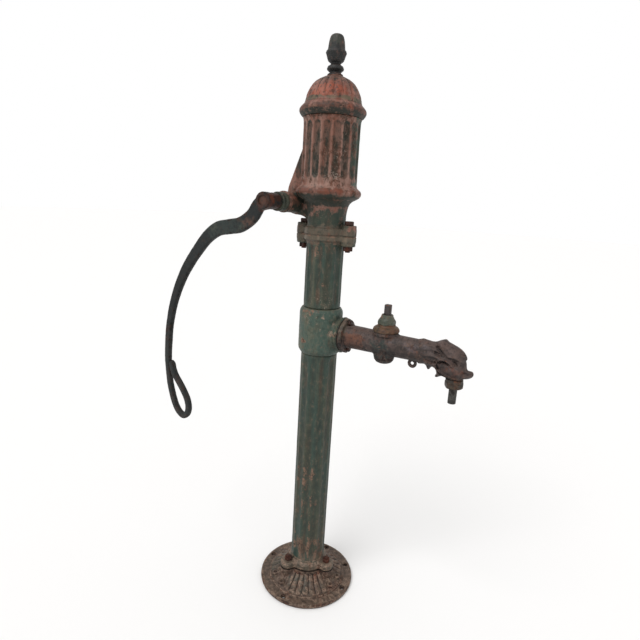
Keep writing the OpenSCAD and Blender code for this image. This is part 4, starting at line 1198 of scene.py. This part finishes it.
fit(cast("shaft_boss_plug", rear_plug_field, (-114, 41, 1171), (-66, 57, 1219), 1.0, bolt_rust, seed=37),
    "stand", "rust_iron", "rear_plug")

# ---------------------------------------------------------------- bushes, shaft and crank
# Brass bushes carry the steel lever shaft; a forked crank is keyed to it inside the head.

brass = weathered("tarnished_brass", metal=1.0, Paint="a8873f", Faded="8f7136", Primer="b8954c",
                  Iron="6e5a30", Rust="5f6b48", Grime="3a3020", Chips=0.4, Bare=0.35, Edge_wear=0.3,
                  Rusting=0.25, Dirt=0.4, Flecks=0.0, Run=1.0, bump=0.0002)
shaft_end = weathered("rusty_shaft_end", Paint="3a2a24", Faded="45322a", Primer="55402f", Iron="30231e",
                      Rust="6b3a24", Grime="1d1714", Chips=0.5, Rusting=0.5, Dirt=0.4, Flecks=0.0, Run=1.0,
                      bump=0.0006)
bright_steel = weathered("oiled_steel", metal=1.0, Paint="6b645c", Faded="5a534b", Primer="857c70",
                         Iron="443a32", Rust="6a4a36", Grime="2a2521", Chips=0.4, Bare=0.4, Rusting=0.35,
                         Dirt=0.3, Flecks=0.0, Run=1.0, bump=0.0002)
black_iron = weathered("greasy_black_iron", Paint="3c352f", Faded="4a4038", Primer="55483e", Iron="332a25",
                       Rust="5f402f", Grime="1f1b18", Chips=0.5, Rusting=0.4, Dirt=0.5, Flecks=0.0, Run=1.0,
                       bump=0.0007)
for node in ("front_bush", "rear_bush"):
    dress(node, brass)
for node in ("crank_pin", "crank_key"):
    dress(node, bright_steel)
dress("lever_shaft", shaft_end)
dress("crank_fork", black_iron)

# ---------------------------------------------------------------- handle
# Forged lever: a hub pinned on the shaft, a flat bar that cranks down and out and thins to a
# welded eye for the hand. Black-green paint, worn brown on its edges, rusty at the hub.

bar_line = [(-6, -4), (-20, -14), (-40, -42), (-78, -66), (-118, -74), (-158, -83), (-196, -108),
            (-232, -146), (-272, -196), (-306, -252), (-334, -318), (-352, -388), (-360, -456), (-362, -506),
            (-361, -512)]
bar_wide = [34, 36, 37, 38, 38, 37, 34, 31, 29, 26, 23, 21, 20, 18, 14]
eye_line = [(-362, -500), (-362, -510), (-360, -540), (-356, -575), (-349, -603), (-341, -628), (-331, -651),
            (-316, -669), (-298, -677), (-283, -668), (-276, -650), (-277, -631), (-284, -612), (-297, -592),
            (-314, -571), (-330, -552), (-341, -532), (-344, -517), (-351, -509)]


def swept(points, widths, steps=5):
    """The outline of a bar drawn along a smooth line, and how wide it is along the way."""
    p = np.column_stack([points, widths]).astype(float)
    p = np.vstack([2 * p[0] - p[1], p, 2 * p[-1] - p[-2]])
    a, b, c, d = p[:-3], p[1:-2], p[2:-1], p[3:]
    out = [between(a, b, c, d, t) for t in np.arange(steps) / steps]
    path = np.vstack([np.stack(out, 1).reshape(-1, 3), p[-2]])
    way = np.gradient(path[:, :2], axis=0)
    side = np.column_stack([-way[:, 1], way[:, 0]]) / np.linalg.norm(way, axis=1)[:, None] * path[:, 2:] / 2
    return np.vstack([path[:, :2] + side, (path[:, :2] - side)[::-1]])


bar_shape = outline(swept(bar_line, bar_wide), step=1.0)
eye_shape = outline(swept(eye_line, [15] + [17] * 16 + [16, 13]), step=0.8)


def handle_field(x, y, z):
    a, b = x - shaft_x, z - shaft_z
    out = np.hypot(a, b)
    plan = soft_join(bar_shape(a, b), eye_shape(a, b), 2.5)
    solid = soft_both(plan - 1.2, slab(y, -173.2, -156.8), 7)
    hub = rod(out + 0.045 * (y + 116), y, 19.9, -158, -115.6, 2)
    hub = soft_join(hub, rod(out, y, 20.9, -158, -152, 1.2), 1)
    boss = rod(out, y, 22.3, -177.6, -155.5, 4)
    solid = soft_join(solid, soft_join(hub, boss, 1.5), 5)
    solid = soft_cut(solid, out - 12.5, 0.6)
    return soft_cut(solid, np.hypot(a, y + 135) - 4, 0.6)


handle_paint = weathered("handle_black_green", Paint="141b1b", Faded="1c2320", Primer="34291f",
                         Iron="1e1613", Rust="4a2819", Grime="0d1010", Chips=0.3, Bare=0.6, Edge_wear=0.9,
                         Streaks=0.4, Rusting=0.35, Dirt=0.6, Flecks=0.0, Run=1.0, bump=0.0008, patches=(
                             ("Paint", (-90, -145, 1195), (34, 50, 34), "361d17"),
                             ("Faded", (-90, -145, 1195), (34, 50, 34), "44251c"),
                             ("Rust", (-90, -158, 1195), (40, 14, 40), "7a3c1e"),
                             ("Rusting", (-90, -145, 1195), (34, 50, 34), 0.65),
                             ("Faded", (-220, -165, 1115), (80, 30, 40), "3b4138"),
                             ("Paint", (-220, -165, 1115), (80, 30, 40), "252f2c"),
                             ("Faded", (-130, -165, 1140), (30, 30, 14), "5a4034"),
                             ("Faded", (-400, -165, 570), (70, 30, 120), "302b28"),
                             ("Stain", (-395, -165, 905), (70, 40, 170), 0.6)))
fit(cast("lever_handle", handle_field, (-462.4, -178, 508), (-66, -115, 1219), 1.5, handle_paint,
         uneven=0.35, seed=39),
    "lever", "dark_paint", "handle")
dress("handle_pin", bright_steel)

# ---------------------------------------------------------------- pump rod, piston and valves
# A crosshead on the crank pin draws the steel rod through a packed brass guide in the neck.
# Brass piston with a leather cup, brass valves and a brass cylinder liner.

for node in ("crosshead", "rod_lock_nut"):
    dress(node, black_iron)
dress("pump_rod", bright_steel)
for node in ("rod_guide", "rod_gland_nut", "cylinder_liner", "piston_body", "cup_clamp", "piston_nut",
             "piston_valve", "valve_stop_nut", "suction_valve_seat", "suction_valve", "suction_valve_cage"):
    dress(node, brass)
dress("piston_cup", weathered("wet_leather", Paint="6b4a2c", Faded="5a3c24", Primer="7d5c3a", Iron="442c1a",
                              Rust="5c3c22", Grime="2c1e13", Chips=0.3, Dirt=0.5, Flecks=0.0, Run=1.0,
                              bump=0.0004))

# ---------------------------------------------------------------- dome
# Lobed cast cap with a half-round bead at its foot, held down by a stud through a bridge bar.
# Red oxide and salmon paint, brightest low in front, dark near the top.

dome_out = outline([(60, 1415.4), (78.6, 1415.4), (83, 1418.5), (87, 1423.5), (89.2, 1429), (88.4, 1435),
                    (85, 1440), (80.5, 1444.4), (76.8, 1449), (74.6, 1454), (73.4, 1460), (70.7, 1466.5),
                    (67.4, 1475), (62.6, 1485), (56.4, 1494), (49, 1501.5), (40, 1508.5), (29, 1514.5),
                    (22, 1517.5), (20, 1519), (0, 1519), (0, 1415.4)])
dome_in = outline([(0, 1400), (72.3, 1400), (72.3, 1442), (66, 1449), (64, 1459), (58, 1473), (50, 1487),
                   (38, 1498), (22, 1506), (0, 1507)])


def dome_field(x, y, z):
    r, turn = np.hypot(x, y), np.arctan2(y, x)
    lobe = np.sqrt(np.clip(1 - (2 * np.mod(turn * barrel_flutes / (2 * math.pi), 1) - 1) ** 2 * 0.96, 0, 1))
    share = np.clip((z - 1461) / 8, 0, 1) * np.clip((1514 - z) / 14, 0, 1) * np.clip(r / 40, 0, 1)
    solid = dome_out(r, z) - share * (4.6 * lobe - 2.9)
    groove = np.hypot(r - 77.2, z - 1449.5) - 1.2
    solid = soft_cut(solid, groove, 1.5)
    return soft_cut(soft_cut(solid, dome_in(r, z), 0.8), r - 6.4, 0.5)


dome_red = weathered("dome_red", Mottle=0.75, Paint="6f4438", Faded="926a5d", Primer="7a5b4d",
                     Iron="403128", Rust="9b4626", Grime="24251e", Chips=0.5, Bare=0.45, Edge_wear=0.3,
                     Streaks=0.5, Rusting=0.5, Dirt=1.1, Flecks=0.25, Run=0.3, bump=0.0012, patches=(
                         ("Rust", (15, -66, 1472), (46, 40, 22), "b9502a"),
                         ("Rusting", (15, -66, 1472), (50, 40, 24), 1.0),
                         ("Faded", (-55, -45, 1478), (34, 50, 30), "b07a6c"),
                         ("Stain", (0, -10, 1506), (50, 50, 14), 0.5),
                         ("Paint", (60, 40, 1480), (44, 60, 40), "504137"),
                         ("Paint", (0, 0, 1455), (120, 120, 7), "594c3c"),
                         ("Faded", (0, 0, 1455), (120, 120, 7), "665a46"),
                         ("Rusting", (0, 0, 1455), (120, 120, 7), 0.3),
                         ("Paint", (0, 0, 1433), (120, 120, 14), "46291e"),
                         ("Faded", (0, 0, 1433), (120, 120, 14), "573629"),
                         # The darker band under the bead at the dome's foot is painted shade.
                         ("Stain", (0, 0, 1421), (130, 130, 9), 0.7)))
fit(cast("lobed_dome", dome_field, (-90, -90, 1415), (90, 90, 1519), 1.6, dome_red, uneven=0.3, seed=41),
    "stand", "red_paint", "dome_cap")
dress("bridge_bar", black_iron)
dress("tie_nut", black_iron)
dress("tie_stud", bright_steel)

# ---------------------------------------------------------------- finial
# A cast acorn on a turned stem, which is also the nut that draws the dome down.
# Black paint, worn pinkish on the nut, with scales pressed round the cup.

finial_side = outline([(0, 1519.3), (21, 1519.3), (20, 1522), (15.6, 1524.5), (14.9, 1527), (18.4, 1530),
                       (21.8, 1533), (22.1, 1536), (19.9, 1541), (14.5, 1544.4), (12.4, 1546.5),
                       (13.6, 1549), (18.2, 1552), (21, 1556), (23, 1562), (24.4, 1567), (26.2, 1571),
                       (26.6, 1574), (25.6, 1577), (23, 1579.6), (22.2, 1583), (21.9, 1588), (21.2, 1594),
                       (20.2, 1600), (18.9, 1605.5), (17, 1610.8), (14.4, 1614.6), (10, 1617), (5.5, 1617.8),
                       (3, 1618.6), (0, 1619)], step=0.4)


def finial_field(x, y, z):
    r, turn = np.hypot(x, y), np.arctan2(y, x) / (2 * math.pi)
    lean = (z - 1550) / 9
    scale = np.sin(2 * math.pi * (turn * 16 + lean)) * np.sin(2 * math.pi * (turn * 16 - lean))
    solid = finial_side(r, z) - 0.7 * scale * np.clip((z - 1551) / 4, 0, 1) * np.clip((1576 - z) / 3, 0, 1)
    solid = solid + 0.25 * (1 + np.sin(turn * 2 * math.pi * 14)) * np.clip((z - 1583) / 6, 0,
                                                                           1) * np.clip(r / 14, 0, 1)
    return soft_cut(solid, rod(r, z, 6, 1500, 1565), 0.5)


finial_black = weathered("finial_black", Paint="252625", Faded="322e2d", Primer="5d463e", Iron="322825",
                         Rust="51332c", Grime="151617", Chips=0.3, Bare=0.3, Edge_wear=0.6, Streaks=0.4,
                         Rusting=0.2, Dirt=0.5, Flecks=0.05, Run=0.5, bump=0.0007, patches=(
                             # The paler paint on top of the nut is partly its own grey-brown paint and partly
                             # a painted highlight.
                             ("Faded", (0, 0, 1602), (40, 40, 22), "493e36"),
                             ("Paint", (0, 0, 1602), (40, 40, 22), "363932"),
                             ("Chips", (0, -10, 1606), (30, 30, 18), 0.62)))
fit(cast("acorn_finial", finial_field, (-27, -27, 1519), (27, 27, 1619), 0.85, finial_black, uneven=0.12,
         seed=43),
    "stand", "black_paint", "finial")
